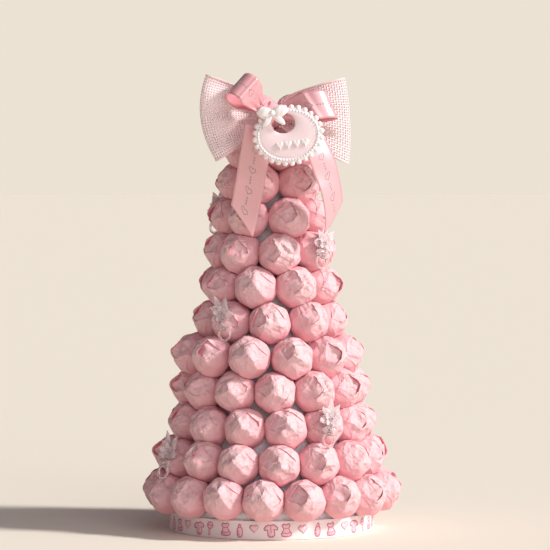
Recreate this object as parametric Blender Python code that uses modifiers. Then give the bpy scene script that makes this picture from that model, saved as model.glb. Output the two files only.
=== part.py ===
"""Chocolate tower: rings of paper-wrapped chocolates on a foam cone, with a bow, a bib charm and dummies.

Metres, +Z up. The origin is the centre of the underside of the base disc. The bow faces -Y, and +X is to
its right.
"""

import math

import bmesh
import bpy
import numpy as np
from mathutils import Matrix, Vector

# Base
DISC_RADIUS = 0.0775
DISC_HEIGHT = 0.0145
BAND_THICKNESS = 0.0009
BAND_FOOT = 0.0004
BASE_SIDES = 56
GAP = 0.0003  # left between two pieces that touch

# Wrapped chocolates
SWEET_RADIUS = 0.0149
SWEET_PITCH = 0.0305  # from one to the next round a tier
CHEEK_OVERLAP = 0.0008  # how far a sweet reaches into the next one of its tier, to fuse with it
TIER_COUNTS = (17, 15, 13, 12, 11, 9, 8, 7, 6, 5, 4, 3)
# The turn of one sweet of each tier, in degrees to the right of the front
TIER_TURNS = (-4.0, 4.7, 9.7, 2.8, 16.4, -1.4, -17.0, 10.3, -34.2, -22.1, 17.5, -30.0)
FIRST_TIER_Z = 0.0300
TIER_RISE = 0.0260
PROUD_TIER = 4  # this ring stands further out than its neighbours at its left
PROUD_REACH = 0.0050
UNEVEN = 0.0007  # how far a sweet strays from its place
SEED = 11
# Corners of a sweet: degrees away from its outer side, and how many stand round there
SWEET_CORNERS = ((4, 1), (36, 5), (68, 7), (100, 7), (134, 4))
CORNER_SWAY = 5  # degrees
CORNER_REACH = (0.99, 1.05)  # in sweet radii
NEAR = 2.2 * SWEET_RADIUS  # sweets whose centres are nearer than this press on each other

# Foam cone, whose flank flares towards the foot
CONE_FOOT_RADIUS = 0.0730
CONE_MIDDLE_RADIUS = 0.0308
CONE_TOP_RADIUS = 0.0015
CONE_TOP_Z = 0.3200
CONE_SIDES = 32

# Bow of open-weave ribbon, tied at its waist
WAIST = Vector((0.0000, -0.0400, 0.3170))
KNOT_CENTRE = WAIST + Vector((-0.0020, -0.0145, 0.0))
KNOT_HALF = Vector((0.0062, 0.0172, 0.0085))
MESH_RIBBON_WIDTH = 0.0650
MESH_RIBBON_THICKNESS = 0.0010
MESH_WAIST_WIDTH = 0.0180
MESH_LOOP_FRONT = 0.0060  # how far a loop bulges to the front of the waist, and to the back
MESH_LOOP_BACK = 0.0130
MESH_PLEAT_DEPTH = 0.0022
MESH_PLEATS = 3
MESH_CLEARANCE = 0.0022  # between the middle of the waist and a loop's ends
MESH_LOOPS = {
    "mesh_loop_left": dict(
        side=-1, length=0.0380, tip_bulge=0.0080, tip_tilt=0.0037, rise=-0.0034, forward=0.0090,
    ),
    "mesh_loop_right": dict(
        side=1, length=0.0500, tip_bulge=0.0024, tip_tilt=-0.0015, rise=-0.0056, forward=0.0,
    ),
}
LOOP_OPENING = math.radians(16)  # how far round the teardrop a loop's end starts
LOOP_FULLNESS = 0.65  # greatest value of the teardrop's bulge before it is scaled

# Satin bow over it
SATIN_WIDTH = 0.0220
SATIN_THICKNESS = 0.0008
SATIN_CLEARANCE = 0.0014
SATIN_GATHER = 0.45  # share of its width that a loop keeps at the knot
KNOT_SQUARENESS = 0.10
SATIN_LOOPS = {
    "satin_loop_left": dict(
        start=(-0.0065, -0.0055, 0.0045), direction=(-0.71, -0.14, 0.70),
        width_direction=(-0.56, -0.36, -0.77), length=0.0250, depth=0.0190,
    ),
    "satin_loop_right": dict(
        start=(0.0085, -0.0045, 0.0010), direction=(0.989, -0.05, 0.147),
        width_direction=(-0.405, 0.16, 0.90), length=0.0385, depth=0.0170,
    ),
}
# The tails: the four points of a curve down the middle, the ways the ribbon faces at its top and its end,
# and the share of its length by which one edge is longer than the middle
SATIN_TAILS = {
    "satin_tail_left": dict(
        points=(
            (-0.0090, -0.0640, 0.3080), (-0.0120, -0.0600, 0.2880),
            (-0.0160, -0.0475, 0.2600), (-0.0218, -0.0460, 0.2367),
        ),
        facing=((0.20, -1.0, 0.2), (0.05, -1.0, -0.25)),
        slant=-0.14,
    ),
    "satin_tail_right": dict(
        points=(
            (0.0290, -0.0600, 0.3000), (0.0370, -0.0600, 0.2860),
            (0.0480, -0.0520, 0.2620), (0.0471, -0.0450, 0.2381),
        ),
        facing=((0.45, -1.0, 0.42), (0.80, -0.6, 0.0)),
        slant=0.14,
    ),
}

# Bib charm
BIB_CENTRE = Vector((0.0128, -0.0742, 0.3008))
BIB_HALF_WIDTH = 0.0227
BIB_HALF_HEIGHT = 0.0187
BIB_THICKNESS = 0.0032
BIB_TURN = math.radians(8)
NECK_RADIUS = 0.0088
NECK_PLACE = (-0.0025, 0.0094)  # its middle on the plate
EDGING_REACH = 0.0038
EDGING_THICKNESS = 0.0030
EDGING_RIM = 0.0012  # width of the edging between the plate and the scallops
SCALLOPS = 28
NECK_FLATNESS = 0.86  # the neck hole's height in its widths
BIB_FACING = Vector((0.03, 1.0, -0.03))  # the way its back faces
HEARTS = 4
HEART_SIZE = 0.0052
HEART_PITCH = 0.0062
HEART_THICKNESS = 0.0024  # half of it is sunk in the plate
HEART_ROW = (0.0021, -0.0062)  # middle of the row on the plate

# Moulded bow at the bib's neck: half sizes (wide, deep, high), places and slopes of its loops and tails
BIB_BOW_PLACE = (-0.0095, 0.0178)
BIB_BOW_STAND_OFF = 0.0024
BOW_LOOP_HALF = (0.0058, 0.0018, 0.0040)
BOW_LOOP_PLACE = (0.0055, 0.0008)
BOW_LOOP_SLOPE = math.radians(-12)
BOW_TAIL_HALF = (0.0062, 0.0015, 0.0023)
BOW_TAIL_PLACE = (0.0042, -0.0050)
BOW_TAIL_SLOPE = math.radians(48)
BOW_KNOT_RADIUS = 0.0024

# Charms: tier, which of its sweets, the way the charm faces in degrees to the right of the front, and its lean
# to the right in degrees
CHARMS = (
    (7, 1, 32.0, 22.0),
    (2, 1, 20.0, 14.0),
    (5, -1, -24.0, -17.0),
    (1, -3, -40.0, 2.0),
    (8, -1, -142.0, 4.0),
    (3, 5, 146.0, 8.0),
    (6, 4, 170.0, -12.0),
    (2, -6, -150.0, 5.0),
)
CHARM_LEAN = math.radians(12)
CHARM_THICKNESS = 0.0026
CHARM_STAND_OFF = 0.0159  # from a sweet's centre to the charm's back
ROSETTE_RISE = 0.0036  # of the flower's middle over the sweet's
PETAL_REACH = 0.0078
PETAL_WAVE = 0.0024
PETALS = 5
LEAF_REACH = 0.0080
LEAF_TURNS = (math.radians(74), math.radians(108))
LEAF_SPREAD = 0.16
DUMMY_DROP = 0.0058
SHIELD_HALF = (0.0068, 0.0013, 0.0038)
RING_HALF = (0.0053, 0.0059)
RING_HOLE_HALF = (0.0036, 0.0042)
RING_THICKNESS = 0.0019
RING_DROP = 0.0066


def material(name, colour, roughness, metallic=0.0):
    made = bpy.data.materials.new(name)
    made.use_nodes = True
    shader = made.node_tree.nodes["Principled BSDF"]
    shader.inputs["Base Color"].default_value = (*colour, 1.0)
    shader.inputs["Roughness"].default_value = roughness
    shader.inputs["Metallic"].default_value = metallic
    return made


def add(name, mesh, finish, collection):
    mesh.materials.clear()
    mesh.materials.append(finish)
    made = bpy.data.objects.new(name, mesh)
    collection.objects.link(made)
    return made


def mesh_from(bm, name):
    bmesh.ops.recalc_face_normals(bm, faces=bm.faces)
    mesh = bpy.data.meshes.new(name)
    bm.to_mesh(mesh)
    bm.free()
    return mesh


def fused(name, meshes, finish, collection):
    """One solid from meshes that overlap."""
    bpy.context.view_layer.update()
    others = bpy.data.collections.new(name + "_parts")
    bpy.context.scene.collection.children.link(others)
    first = add(name + "_first", meshes[0], finish, bpy.context.scene.collection)
    rest = [add(f"{name}_{i}", mesh, finish, others) for i, mesh in enumerate(meshes[1:])]
    union = first.modifiers.new("fuse", "BOOLEAN")
    union.operation = "UNION"
    union.operand_type = "COLLECTION"
    union.collection = others
    union.solver = "EXACT"
    graph = bpy.context.evaluated_depsgraph_get()
    mesh = bpy.data.meshes.new_from_object(first.evaluated_get(graph))
    for piece in (first, *rest):
        bpy.data.objects.remove(piece)
    bpy.data.collections.remove(others)
    return add(name, mesh, finish, collection)


def tier_height(tier):
    return FIRST_TIER_Z + TIER_RISE * tier


def tier_radius(tier, turn):
    """How far from the axis a sweet of that tier is, so many degrees to the right of the front."""
    proud = PROUD_REACH * (1 - math.sin(math.radians(turn))) / 2 if tier == PROUD_TIER else 0.0
    return SWEET_PITCH / (2 * math.sin(math.pi / TIER_COUNTS[tier])) + proud


def cone_radius(z):
    """A parabola through the foot, the middle tier and the tip."""
    foot, top = DISC_HEIGHT, CONE_TOP_Z
    middle = (foot + top) / 2
    return (
        CONE_FOOT_RADIUS * (z - middle) * (z - top) / ((foot - middle) * (foot - top))
        + CONE_MIDDLE_RADIUS * (z - foot) * (z - top) / ((middle - foot) * (middle - top))
        + CONE_TOP_RADIUS * (z - foot) * (z - middle) / ((top - foot) * (top - middle))
    )


def outward(degrees, lean=0.0):
    """The direction that is so many degrees to the right of the front, leaning up by lean radians."""
    turn = math.radians(degrees)
    return Vector((math.sin(turn) * math.cos(lean), -math.cos(turn) * math.cos(lean), math.sin(lean)))


def flank_lean(z):
    """How far the cone's flank leans back from upright at that height."""
    step = 0.001
    return math.atan2(cone_radius(z - step) - cone_radius(z + step), 2 * step)


def sweet_centres():
    """The sweets' centres, tier by tier."""
    uneven = np.random.default_rng(SEED)
    tiers = []
    for tier, count in enumerate(TIER_COUNTS):
        ring = []
        for i in range(count):
            out, up = uneven.uniform(-UNEVEN, UNEVEN, 2)
            turn = TIER_TURNS[tier] + 360 * i / count
            flat = outward(turn) * (tier_radius(tier, turn) + out)
            ring.append(flat + Vector((0, 0, tier_height(tier) + up)))
        tiers.append(ring)
    return tiers


def frame_at(centre):
    """Outward, sideways and upward directions of a sweet."""
    flat = Vector((centre.x, centre.y, 0)).normalized()
    lean = flank_lean(centre.z)
    out = flat * math.cos(lean) + Vector((0, 0, math.sin(lean)))
    side = Vector((-flat.y, flat.x, 0))
    return out, side, out.cross(side)


def sweet_mesh(name, tiers, tier, i, uneven):
    """A paper-wrapped ball with flat cheeks where it is pressed to its neighbours."""
    centre = tiers[tier][i]
    out, side, up = frame_at(centre)
    points = []
    for polar, count in SWEET_CORNERS:
        start = uneven.uniform(0, 360)
        for k in range(count):
            a = math.radians(polar + uneven.uniform(-CORNER_SWAY, CORNER_SWAY))
            b = math.radians(start + 360 * k / count + uneven.uniform(-CORNER_SWAY, CORNER_SWAY))
            reach = SWEET_RADIUS * uneven.uniform(*CORNER_REACH)
            points.append((out * math.cos(a) + (side * math.cos(b) + up * math.sin(b)) * math.sin(a)) * reach)
    for away in (-1, 1):
        neighbour = tiers[tier][(i + away) % len(tiers[tier])] - centre
        points.append(neighbour / 2 + neighbour.normalized() * CHEEK_OVERLAP)
    to_cone = (centre.xy.length - cone_radius(centre.z)) * math.cos(flank_lean(centre.z)) - 2 * GAP
    walls = [(-out, to_cone)]
    for other, ring in enumerate(tiers):
        for there in ring:
            apart = there - centre
            if 0 < apart.length < NEAR:
                share = CHEEK_OVERLAP if other == tier else -GAP / 2
                walls.append((apart.normalized(), apart.length / 2 + share))
    if tier == 0:
        walls.append((Vector((0, 0, -1)), centre.z - DISC_HEIGHT - GAP))
    bm = bmesh.new()
    for point in points:
        for wall, reach in walls:
            point -= wall * max(0.0, point.dot(wall) - reach)
        bm.verts.new(centre + point)
    hull = bmesh.ops.convex_hull(bm, input=bm.verts)
    sunk = [vertex for vertex in hull["geom_interior"] if isinstance(vertex, bmesh.types.BMVert)]
    bmesh.ops.delete(bm, geom=sunk, context="VERTS")
    return mesh_from(bm, name)


def sweets(finish, collection):
    tiers = sweet_centres()
    uneven = np.random.default_rng(SEED + 1)
    for tier, ring in enumerate(tiers):
        balls = [sweet_mesh(f"sweet_{tier}_{i}", tiers, tier, i, uneven) for i in range(len(ring))]
        fused(f"sweets_tier_{tier + 1:02d}", balls, finish, collection)


def base_disc(finish, collection):
    bm = bmesh.new()
    bmesh.ops.create_cone(
        bm, cap_ends=True, segments=BASE_SIDES, radius1=DISC_RADIUS, radius2=DISC_RADIUS, depth=DISC_HEIGHT,
        matrix=Matrix.Translation((0, 0, DISC_HEIGHT / 2)),
    )
    return add("base_disc", mesh_from(bm, "base_disc"), finish, collection)


def turned(name, profile, segments, finish, collection):
    """A profile of (radius, height) points, from top to bottom, turned about the Z axis."""
    mesh = bpy.data.meshes.new(name)
    mesh.from_pydata([(r, 0, z) for r, z in profile], [(i, i + 1) for i in range(len(profile) - 1)], [])
    made = add(name, mesh, finish, collection)
    screw = made.modifiers.new("turn", "SCREW")
    screw.steps = segments
    screw.render_steps = segments
    screw.use_merge_vertices = True
    screw.merge_threshold = 0.00001
    return made


def foam_cone(finish, collection):
    rings = 7
    foot = DISC_HEIGHT + GAP
    heights = [CONE_TOP_Z + (foot - CONE_TOP_Z) * k / rings for k in range(rings + 1)]
    profile = [(0, CONE_TOP_Z)] + [(cone_radius(z), z) for z in heights] + [(0, foot)]
    return turned("foam_cone", profile, CONE_SIDES, finish, collection)


def printed_band(finish, collection):
    inner = DISC_RADIUS + GAP
    outer = inner + BAND_THICKNESS
    top = DISC_HEIGHT - GAP
    profile = [(inner, top), (outer, top), (outer, BAND_FOOT), (inner, BAND_FOOT), (inner, top)]
    return turned("printed_band", profile, BASE_SIDES, finish, collection)


def ribbon(name, place, along, across, thickness, finish, collection):
    """A strip of ribbon; place(u, v) is its point at u (0 to 1) along it and v (-1 to 1) across it."""
    bm = bmesh.new()
    bmesh.ops.create_grid(bm, x_segments=along, y_segments=across, size=1.0)
    for vertex in bm.verts:
        vertex.co = place((vertex.co.x + 1) / 2, vertex.co.y)
    mesh = bpy.data.meshes.new(name)
    bm.to_mesh(mesh)
    bm.free()
    made = add(name, mesh, finish, collection)
    shell = made.modifiers.new("cloth thickness", "SOLIDIFY")
    shell.thickness = thickness
    shell.offset = 0
    return made


def loop_curve(u, length, front, back, clearance):
    """How far a teardrop loop has gone out and backwards at u along it; its two ends stay clearance apart."""
    turn = LOOP_OPENING + (2 * math.pi - 2 * LOOP_OPENING) * u
    swell = (1 - math.cos(turn)) / 2
    bulge = -math.sin(turn) * swell / LOOP_FULLNESS
    return length * swell, bulge * (back if bulge > 0 else front) - clearance * math.cos(turn / 2), swell


def mesh_loop(side, length, tip_bulge, tip_tilt, rise, forward):
    def place(u, v):
        out, back, swell = loop_curve(u, length, MESH_LOOP_FRONT, MESH_LOOP_BACK, MESH_CLEARANCE)
        half = MESH_WAIST_WIDTH / 2 + (MESH_RIBBON_WIDTH - MESH_WAIST_WIDTH) / 2 * swell ** 0.75
        pleat = MESH_PLEAT_DEPTH * math.sin(math.pi * MESH_PLEATS * v) * (1 - swell)
        across = out + KNOT_HALF.x + 2 * GAP + (tip_bulge * (1 - v * v) + tip_tilt * v) * swell
        return WAIST + Vector((side * across, back + pleat - forward * swell ** 2, v * half + rise * swell))

    return place


def satin_loop(start, direction, width_direction, length, depth):
    ahead = Vector(direction).normalized()
    wide = Vector(width_direction)
    wide = (wide - ahead * wide.dot(ahead)).normalized()
    aside = ahead.cross(wide)

    def place(u, v):
        out, back, swell = loop_curve(u, length, depth / 2, depth / 2, SATIN_CLEARANCE)
        half = SATIN_WIDTH / 2 * (SATIN_GATHER + (1 - SATIN_GATHER) * min(1.0, 2.2 * swell))
        return KNOT_CENTRE + Vector(start) + ahead * out + aside * back + wide * v * half

    return place


def satin_tail(points, facing, slant):
    """A hanging tail along the Bezier curve of four points, with a slanted end."""
    start, first, second, end = (Vector(p) for p in points)

    def place(u, v):
        t = u * (1 + slant * v)
        s = 1 - t
        centre = start * s ** 3 + first * 3 * s * s * t + second * 3 * s * t * t + end * t ** 3
        heading = (first - start) * s * s + (second - first) * 2 * s * t + (end - second) * t * t
        front = Vector(facing[0]).lerp(Vector(facing[1]), min(1.0, t))
        wide = heading.cross(front).normalized()
        return centre + wide * v * SATIN_WIDTH / 2

    return place


def knot(finish, collection):
    bm = bmesh.new()
    bmesh.ops.create_uvsphere(bm, u_segments=12, v_segments=8, radius=1.0)
    for vertex in bm.verts:
        x, y, z = vertex.co
        swell = 1 - KNOT_SQUARENESS * math.cos(4 * math.atan2(y, x))
        vertex.co = KNOT_CENTRE + Vector((x * KNOT_HALF.x * swell, y * KNOT_HALF.y * swell, z * KNOT_HALF.z))
    return add("satin_knot", mesh_from(bm, "satin_knot"), finish, collection)


def extruded(name, outlines, thickness):
    """A plate from closed outlines in the XZ plane, inner ones being holes; its front is towards -Y."""
    curve = bpy.data.curves.new(name, "CURVE")
    curve.dimensions = "2D"
    curve.fill_mode = "BOTH"
    curve.extrude = thickness / 2
    for outline in outlines:
        spline = curve.splines.new("POLY")
        spline.points.add(len(outline) - 1)
        for point, (x, z) in zip(spline.points, outline):
            point.co = (x, z, 0, 1)
        spline.use_cyclic_u = True
    holder = bpy.data.objects.new(name + "_outline", curve)
    bpy.context.scene.collection.objects.link(holder)
    graph = bpy.context.evaluated_depsgraph_get()
    mesh = bpy.data.meshes.new_from_object(holder.evaluated_get(graph))
    bpy.data.objects.remove(holder)
    bm = bmesh.new()
    bm.from_mesh(mesh)
    bmesh.ops.remove_doubles(bm, verts=bm.verts, dist=0.00001)
    bmesh.ops.rotate(bm, verts=bm.verts, matrix=Matrix.Rotation(math.radians(90), 3, "X"))
    return mesh_from(bm, name)


def ellipse(half_width, half_height, count, wave=0.0, waves=0):
    """Points round an ellipse; with waves, they bulge that many times by wave."""
    points = []
    for k in range(count):
        turn = 2 * math.pi * k / count
        bulge = wave * abs(math.sin(waves * turn / 2)) if waves else 0.0
        points.append(((half_width + bulge) * math.cos(turn), (half_height + bulge) * math.sin(turn)))
    return points


def heart(x, z, size, count=12):
    """Points round a heart, from the usual curve, which is 32 units wide."""
    points = []
    for k in range(count):
        t = 2 * math.pi * k / count
        wide = 16 * math.sin(t) ** 3
        high = 13 * math.cos(t) - 5 * math.cos(2 * t) - 2 * math.cos(3 * t) - math.cos(4 * t)
        points.append((x + wide * size / 32, z + high * size / 32))
    return points


def bib_frame():
    back = BIB_FACING.normalized()
    right = back.cross(Vector((0, 0, 1))).normalized()
    upright = Matrix((right, back, right.cross(back))).transposed()
    return Matrix.Translation(BIB_CENTRE) @ (upright @ Matrix.Rotation(-BIB_TURN, 3, "Y")).to_4x4()


def bib(pink, white, collection):
    place = bib_frame()
    aside, up = NECK_PLACE
    neck = [(x + aside, z + up) for x, z in ellipse(NECK_RADIUS, NECK_RADIUS * NECK_FLATNESS, 16)]
    plate = extruded("bib", [ellipse(BIB_HALF_WIDTH, BIB_HALF_HEIGHT, 36), neck], BIB_THICKNESS)
    hearts = []
    for k in range(HEARTS):
        x = HEART_ROW[0] + HEART_PITCH * (k - (HEARTS - 1) / 2)
        mesh = extruded("heart", [heart(x, HEART_ROW[1], HEART_SIZE)], HEART_THICKNESS)
        mesh.transform(Matrix.Translation((0, -BIB_THICKNESS / 2, 0)))
        hearts.append(mesh)
    made = fused("bib", [plate, *hearts], pink, collection)
    made.data.transform(place)
    inner = ellipse(BIB_HALF_WIDTH + GAP, BIB_HALF_HEIGHT + GAP, 36)
    half_width, half_height = BIB_HALF_WIDTH + EDGING_RIM, BIB_HALF_HEIGHT + EDGING_RIM
    outer = ellipse(half_width, half_height, 3 * SCALLOPS, EDGING_REACH - EDGING_RIM, SCALLOPS)
    lace = extruded("bib_edging", [outer, inner], EDGING_THICKNESS)
    lace.transform(place)
    add("bib_edging", lace, white, collection)


def swollen(name, half, place=(0, 0, 0), slope=0.0, around=8, rings=5):
    """An ellipsoid of those half sizes, sloped and put in its place."""
    bm = bmesh.new()
    bmesh.ops.create_uvsphere(bm, u_segments=around, v_segments=rings, radius=1.0)
    bmesh.ops.transform(bm, verts=bm.verts, matrix=Matrix.Diagonal((*half, 1)))
    turned = Matrix.Translation(place) @ Matrix.Rotation(slope, 4, "Y")
    bmesh.ops.transform(bm, verts=bm.verts, matrix=turned)
    return mesh_from(bm, name)


def bib_bow(finish, collection):
    """The little moulded bow at the bib's neck: two loops, two tails and a knot."""
    x, z = BIB_BOW_PLACE
    place = bib_frame() @ Matrix.Translation((x, -BIB_THICKNESS / 2 - BIB_BOW_STAND_OFF, z))
    parts = []
    for side in (-1, 1):
        out, up = BOW_LOOP_PLACE
        parts.append(swollen("bow_loop", BOW_LOOP_HALF, (side * out, 0, up), side * BOW_LOOP_SLOPE))
        out, up = BOW_TAIL_PLACE
        parts.append(swollen("bow_tail", BOW_TAIL_HALF, (side * out, 0, up), side * BOW_TAIL_SLOPE, 6, 4))
    middle = bmesh.new()
    bmesh.ops.create_icosphere(middle, subdivisions=1, radius=BOW_KNOT_RADIUS)
    parts.append(mesh_from(middle, "bow_knot"))
    made = fused("bib_bow", parts, finish, collection)
    made.data.transform(place)


def rosette_outline():
    """Rounded petals, with two upright leaves between the top ones."""
    points = []
    count = 6 * PETALS
    for k in range(count):
        turn = 2 * math.pi * k / count
        petal = PETAL_REACH + PETAL_WAVE * math.cos(PETALS * (turn + math.pi / 2))
        leaf = sum(math.exp(-((turn - middle) / LEAF_SPREAD) ** 2) for middle in LEAF_TURNS)
        reach = petal + LEAF_REACH * leaf
        points.append((reach * math.cos(turn), reach * math.sin(turn)))
    return points


def charm(number, centre, degrees, sideways, white, clear, collection):
    """A dummy that hangs from a plastic flower, pinned to the face of a sweet."""
    out = outward(degrees, CHARM_LEAN)
    side = outward(degrees + 90)
    frame = Matrix((side, -out, side.cross(-out))).transposed().to_4x4()
    frame = frame @ Matrix.Rotation(math.radians(sideways), 4, "Y")
    place = Matrix.Translation(centre + out * (CHARM_STAND_OFF + CHARM_THICKNESS / 2)) @ frame
    rosette = extruded(f"rosette_{number}", [rosette_outline()], CHARM_THICKNESS)
    rosette.transform(place @ Matrix.Translation((0, 0, ROSETTE_RISE)))
    add(f"rosette_{number:02d}", rosette, white, collection)
    shield = swollen("shield", SHIELD_HALF, around=6, rings=4)
    handle = extruded("handle", [ellipse(*RING_HALF, 9), ellipse(*RING_HOLE_HALF, 6)], RING_THICKNESS)
    handle.transform(Matrix.Translation((0, 0, -RING_DROP)))
    made = fused(f"dummy_{number:02d}", [shield, handle], clear, collection)
    stand_off = CHARM_THICKNESS / 2 + GAP + SHIELD_HALF[1]
    made.data.transform(place @ Matrix.Translation((0, -stand_off, -DUMMY_DROP)))


def build():
    for old in list(bpy.data.objects):
        bpy.data.objects.remove(old)
    tower = bpy.data.collections.new("chocolate_tower")
    bpy.context.scene.collection.children.link(tower)
    pink_paper = material("pink_paper", (0.83, 0.50, 0.52), 0.45)
    foam = material("white_foam", (0.86, 0.85, 0.88), 0.9)
    band_print = material("printed_ribbon", (0.93, 0.85, 0.86), 0.5)
    gauze = material("pink_gauze", (0.90, 0.66, 0.70), 0.8)
    satin = material("pink_satin", (0.86, 0.50, 0.55), 0.3)
    resin = material("pink_resin", (0.92, 0.76, 0.79), 0.4)
    lace = material("white_lace", (0.95, 0.92, 0.92), 0.5)
    frosted = material("frosted_plastic", (0.95, 0.86, 0.87), 0.3)
    clear = material("clear_plastic", (0.96, 0.88, 0.89), 0.15)
    base_disc(foam, tower)
    printed_band(band_print, tower)
    foam_cone(foam, tower)
    sweets(pink_paper, tower)
    for name, shape in MESH_LOOPS.items():
        ribbon(name, mesh_loop(**shape), 18, 7, MESH_RIBBON_THICKNESS, gauze, tower)
    knot(satin, tower)
    for name, shape in SATIN_LOOPS.items():
        ribbon(name, satin_loop(**shape), 16, 3, SATIN_THICKNESS, satin, tower)
    for name, shape in SATIN_TAILS.items():
        ribbon(name, satin_tail(**shape), 10, 3, SATIN_THICKNESS, satin, tower)
    bib(resin, lace, tower)
    bib_bow(lace, tower)
    tiers = sweet_centres()
    for number, (tier, which, degrees, sideways) in enumerate(CHARMS, 1):
        charm(number, tiers[tier][which], degrees, sideways, frosted, clear, tower)


build()
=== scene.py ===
import math

import bmesh
import bpy
import numpy as np
from mathutils import Matrix, Vector


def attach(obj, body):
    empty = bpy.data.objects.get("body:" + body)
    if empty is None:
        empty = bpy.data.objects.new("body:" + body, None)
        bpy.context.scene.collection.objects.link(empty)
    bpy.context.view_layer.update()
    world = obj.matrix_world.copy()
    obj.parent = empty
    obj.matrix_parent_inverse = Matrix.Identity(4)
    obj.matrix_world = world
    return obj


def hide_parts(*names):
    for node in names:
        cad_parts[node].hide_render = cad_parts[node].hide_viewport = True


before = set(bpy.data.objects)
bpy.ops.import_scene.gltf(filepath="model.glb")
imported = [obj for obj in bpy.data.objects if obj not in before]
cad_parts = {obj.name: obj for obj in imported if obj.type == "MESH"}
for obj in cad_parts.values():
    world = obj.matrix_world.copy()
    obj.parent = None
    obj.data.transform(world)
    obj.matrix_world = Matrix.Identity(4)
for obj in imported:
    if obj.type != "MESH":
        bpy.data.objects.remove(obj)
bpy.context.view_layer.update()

# Camera, floor and studio light. The camera stands 2.4 m in front of the tower with a long lens, level with
# the bow and tipped down a little. A key light and a wide window light come from the right, and a pale room
# fills the rest.
CAMERA_PLACE = (0.0029, -2.4, 0.307)
CAMERA_TIP = 2.7
CAMERA_LENS = 205.5
FLOOR_RADIUS, FLOOR_SIDES = 12.0, 96
ROOM_LIGHT = (0.170, 0.148, 0.162)
BACKDROP = (0.840, 0.762, 0.655)
FLOOR_COLOUR = (0.930, 0.880, 0.765)
# Lamps far away: turn to the right of the front, rise, strength, apparent size in degrees, colour
LAMPS = {
    "key": (73, 34, 3.35, 8.0, (1.0, 0.970, 0.940)),
    "window": (58, 14, 0.95, 70.0, (1.0, 0.965, 0.960)),
    "front": (18, 24, 0.50, 40.0, (0.99, 0.96, 0.98)),
}


def node(tree, kind, inputs=None, **settings):
    """Adds a node; each input is a number, a colour or the socket that feeds it."""
    made = tree.nodes.new(kind)
    for name, value in settings.items():
        setattr(made, name, value)
    for name, value in (inputs or {}).items():
        if isinstance(value, bpy.types.NodeSocket):
            tree.links.new(value, made.inputs[name])
        else:
            made.inputs[name].default_value = value
    return made


def linked(name, data):
    """An object in the scene, at the origin."""
    made = bpy.data.objects.new(name, data)
    bpy.context.scene.collection.objects.link(made)
    return made


def finish_of(name, roughness, colour, sockets=None):
    """A material of one colour; sockets holds more of the shader's own values."""
    made = bpy.data.materials.new(name)
    made.use_nodes = True
    shader = made.node_tree.nodes["Principled BSDF"]
    values = {"Base Color": (*colour, 1), "Roughness": roughness, **(sockets or {})}
    for socket, value in values.items():
        shader.inputs[socket].default_value = value
    return made, made.node_tree, shader


def outward(turn, rise):
    """The way out from the tower's axis, turned to the right of the front and raised."""
    return Vector((math.sin(turn) * math.cos(rise), -math.cos(turn) * math.cos(rise), math.sin(rise)))


def piece_of(name, points, faces, finish, place=None, sharp=None):
    """A smooth piece; place moves its mesh, and edges that bend by more than sharp degrees stay crisp."""
    mesh = bpy.data.meshes.new(name)
    mesh.from_pydata([tuple(p) for p in points], [], faces)
    if place is not None:
        mesh.transform(place)
    mesh.materials.append(finish)
    mesh.shade_smooth()
    if sharp:
        mesh.set_sharp_from_angle(angle=math.radians(sharp))
    return linked(name, mesh)


view = bpy.data.cameras.new("camera")
view.lens = CAMERA_LENS
view.clip_end = 50
camera = linked("camera", view)
camera.location = CAMERA_PLACE
camera.rotation_euler = (math.radians(90 - CAMERA_TIP), 0, 0)
bpy.context.scene.camera = camera
bpy.context.scene.view_settings.view_transform = "Standard"

room = bpy.data.worlds.new("room")
bpy.context.scene.world = room
room.use_nodes = True
tree = room.node_tree
tree.nodes.clear()
seen = node(tree, "ShaderNodeBackground", {"Color": (*BACKDROP, 1)})
lit = node(tree, "ShaderNodeBackground", {"Color": (*ROOM_LIGHT, 1)})
ray = node(tree, "ShaderNodeLightPath").outputs["Is Camera Ray"]
mixed = node(tree, "ShaderNodeMixShader", {0: ray, 1: lit.outputs[0], 2: seen.outputs[0]})
node(tree, "ShaderNodeOutputWorld", {"Surface": mixed.outputs[0]})

for name, (turn, rise, strength, size, colour) in LAMPS.items():
    sun = bpy.data.lights.new(name, "SUN")
    sun.energy = strength
    sun.angle = math.radians(size)
    sun.color = colour
    towards = outward(math.radians(turn), math.radians(rise))
    linked(name, sun).rotation_euler = towards.to_track_quat("Z", "Y").to_euler()

pale, tree, shader = finish_of("pale_floor", 1.0, FLOOR_COLOUR, {"Specular IOR Level": 0.0})
turns = 2 * math.pi * np.arange(FLOOR_SIDES) / FLOOR_SIDES
points = [(FLOOR_RADIUS * math.cos(t), FLOOR_RADIUS * math.sin(t), 0) for t in turns]
piece_of("floor", points, [tuple(range(FLOOR_SIDES))], pale)

# Base disc. The tower stands on a round disc cut from hard white foam, whose cells show as a fine grain. The
# solid disc stays as it is and gets the foam's finish.
DISC_RADIUS, DISC_HEIGHT = 0.0775, 0.0145
FOAM_TONES = ((0.97, 0.96, 0.99), (0.84, 0.82, 0.88))


def cloudy(tree, where, scale, detail=2.0):
    """A cloudy pattern over places."""
    noise = node(tree, "ShaderNodeTexNoise", {"Vector": where, "Scale": scale, "Detail": detail})
    return noise.outputs["Fac"]


def raised(tree, shader, heights, strength, depth):
    """Gives a surface the fine relief of a pattern."""
    bump = node(tree, "ShaderNodeBump", {"Height": heights, "Strength": strength, "Distance": depth})
    tree.links.new(bump.outputs[0], shader.inputs["Normal"])


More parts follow.
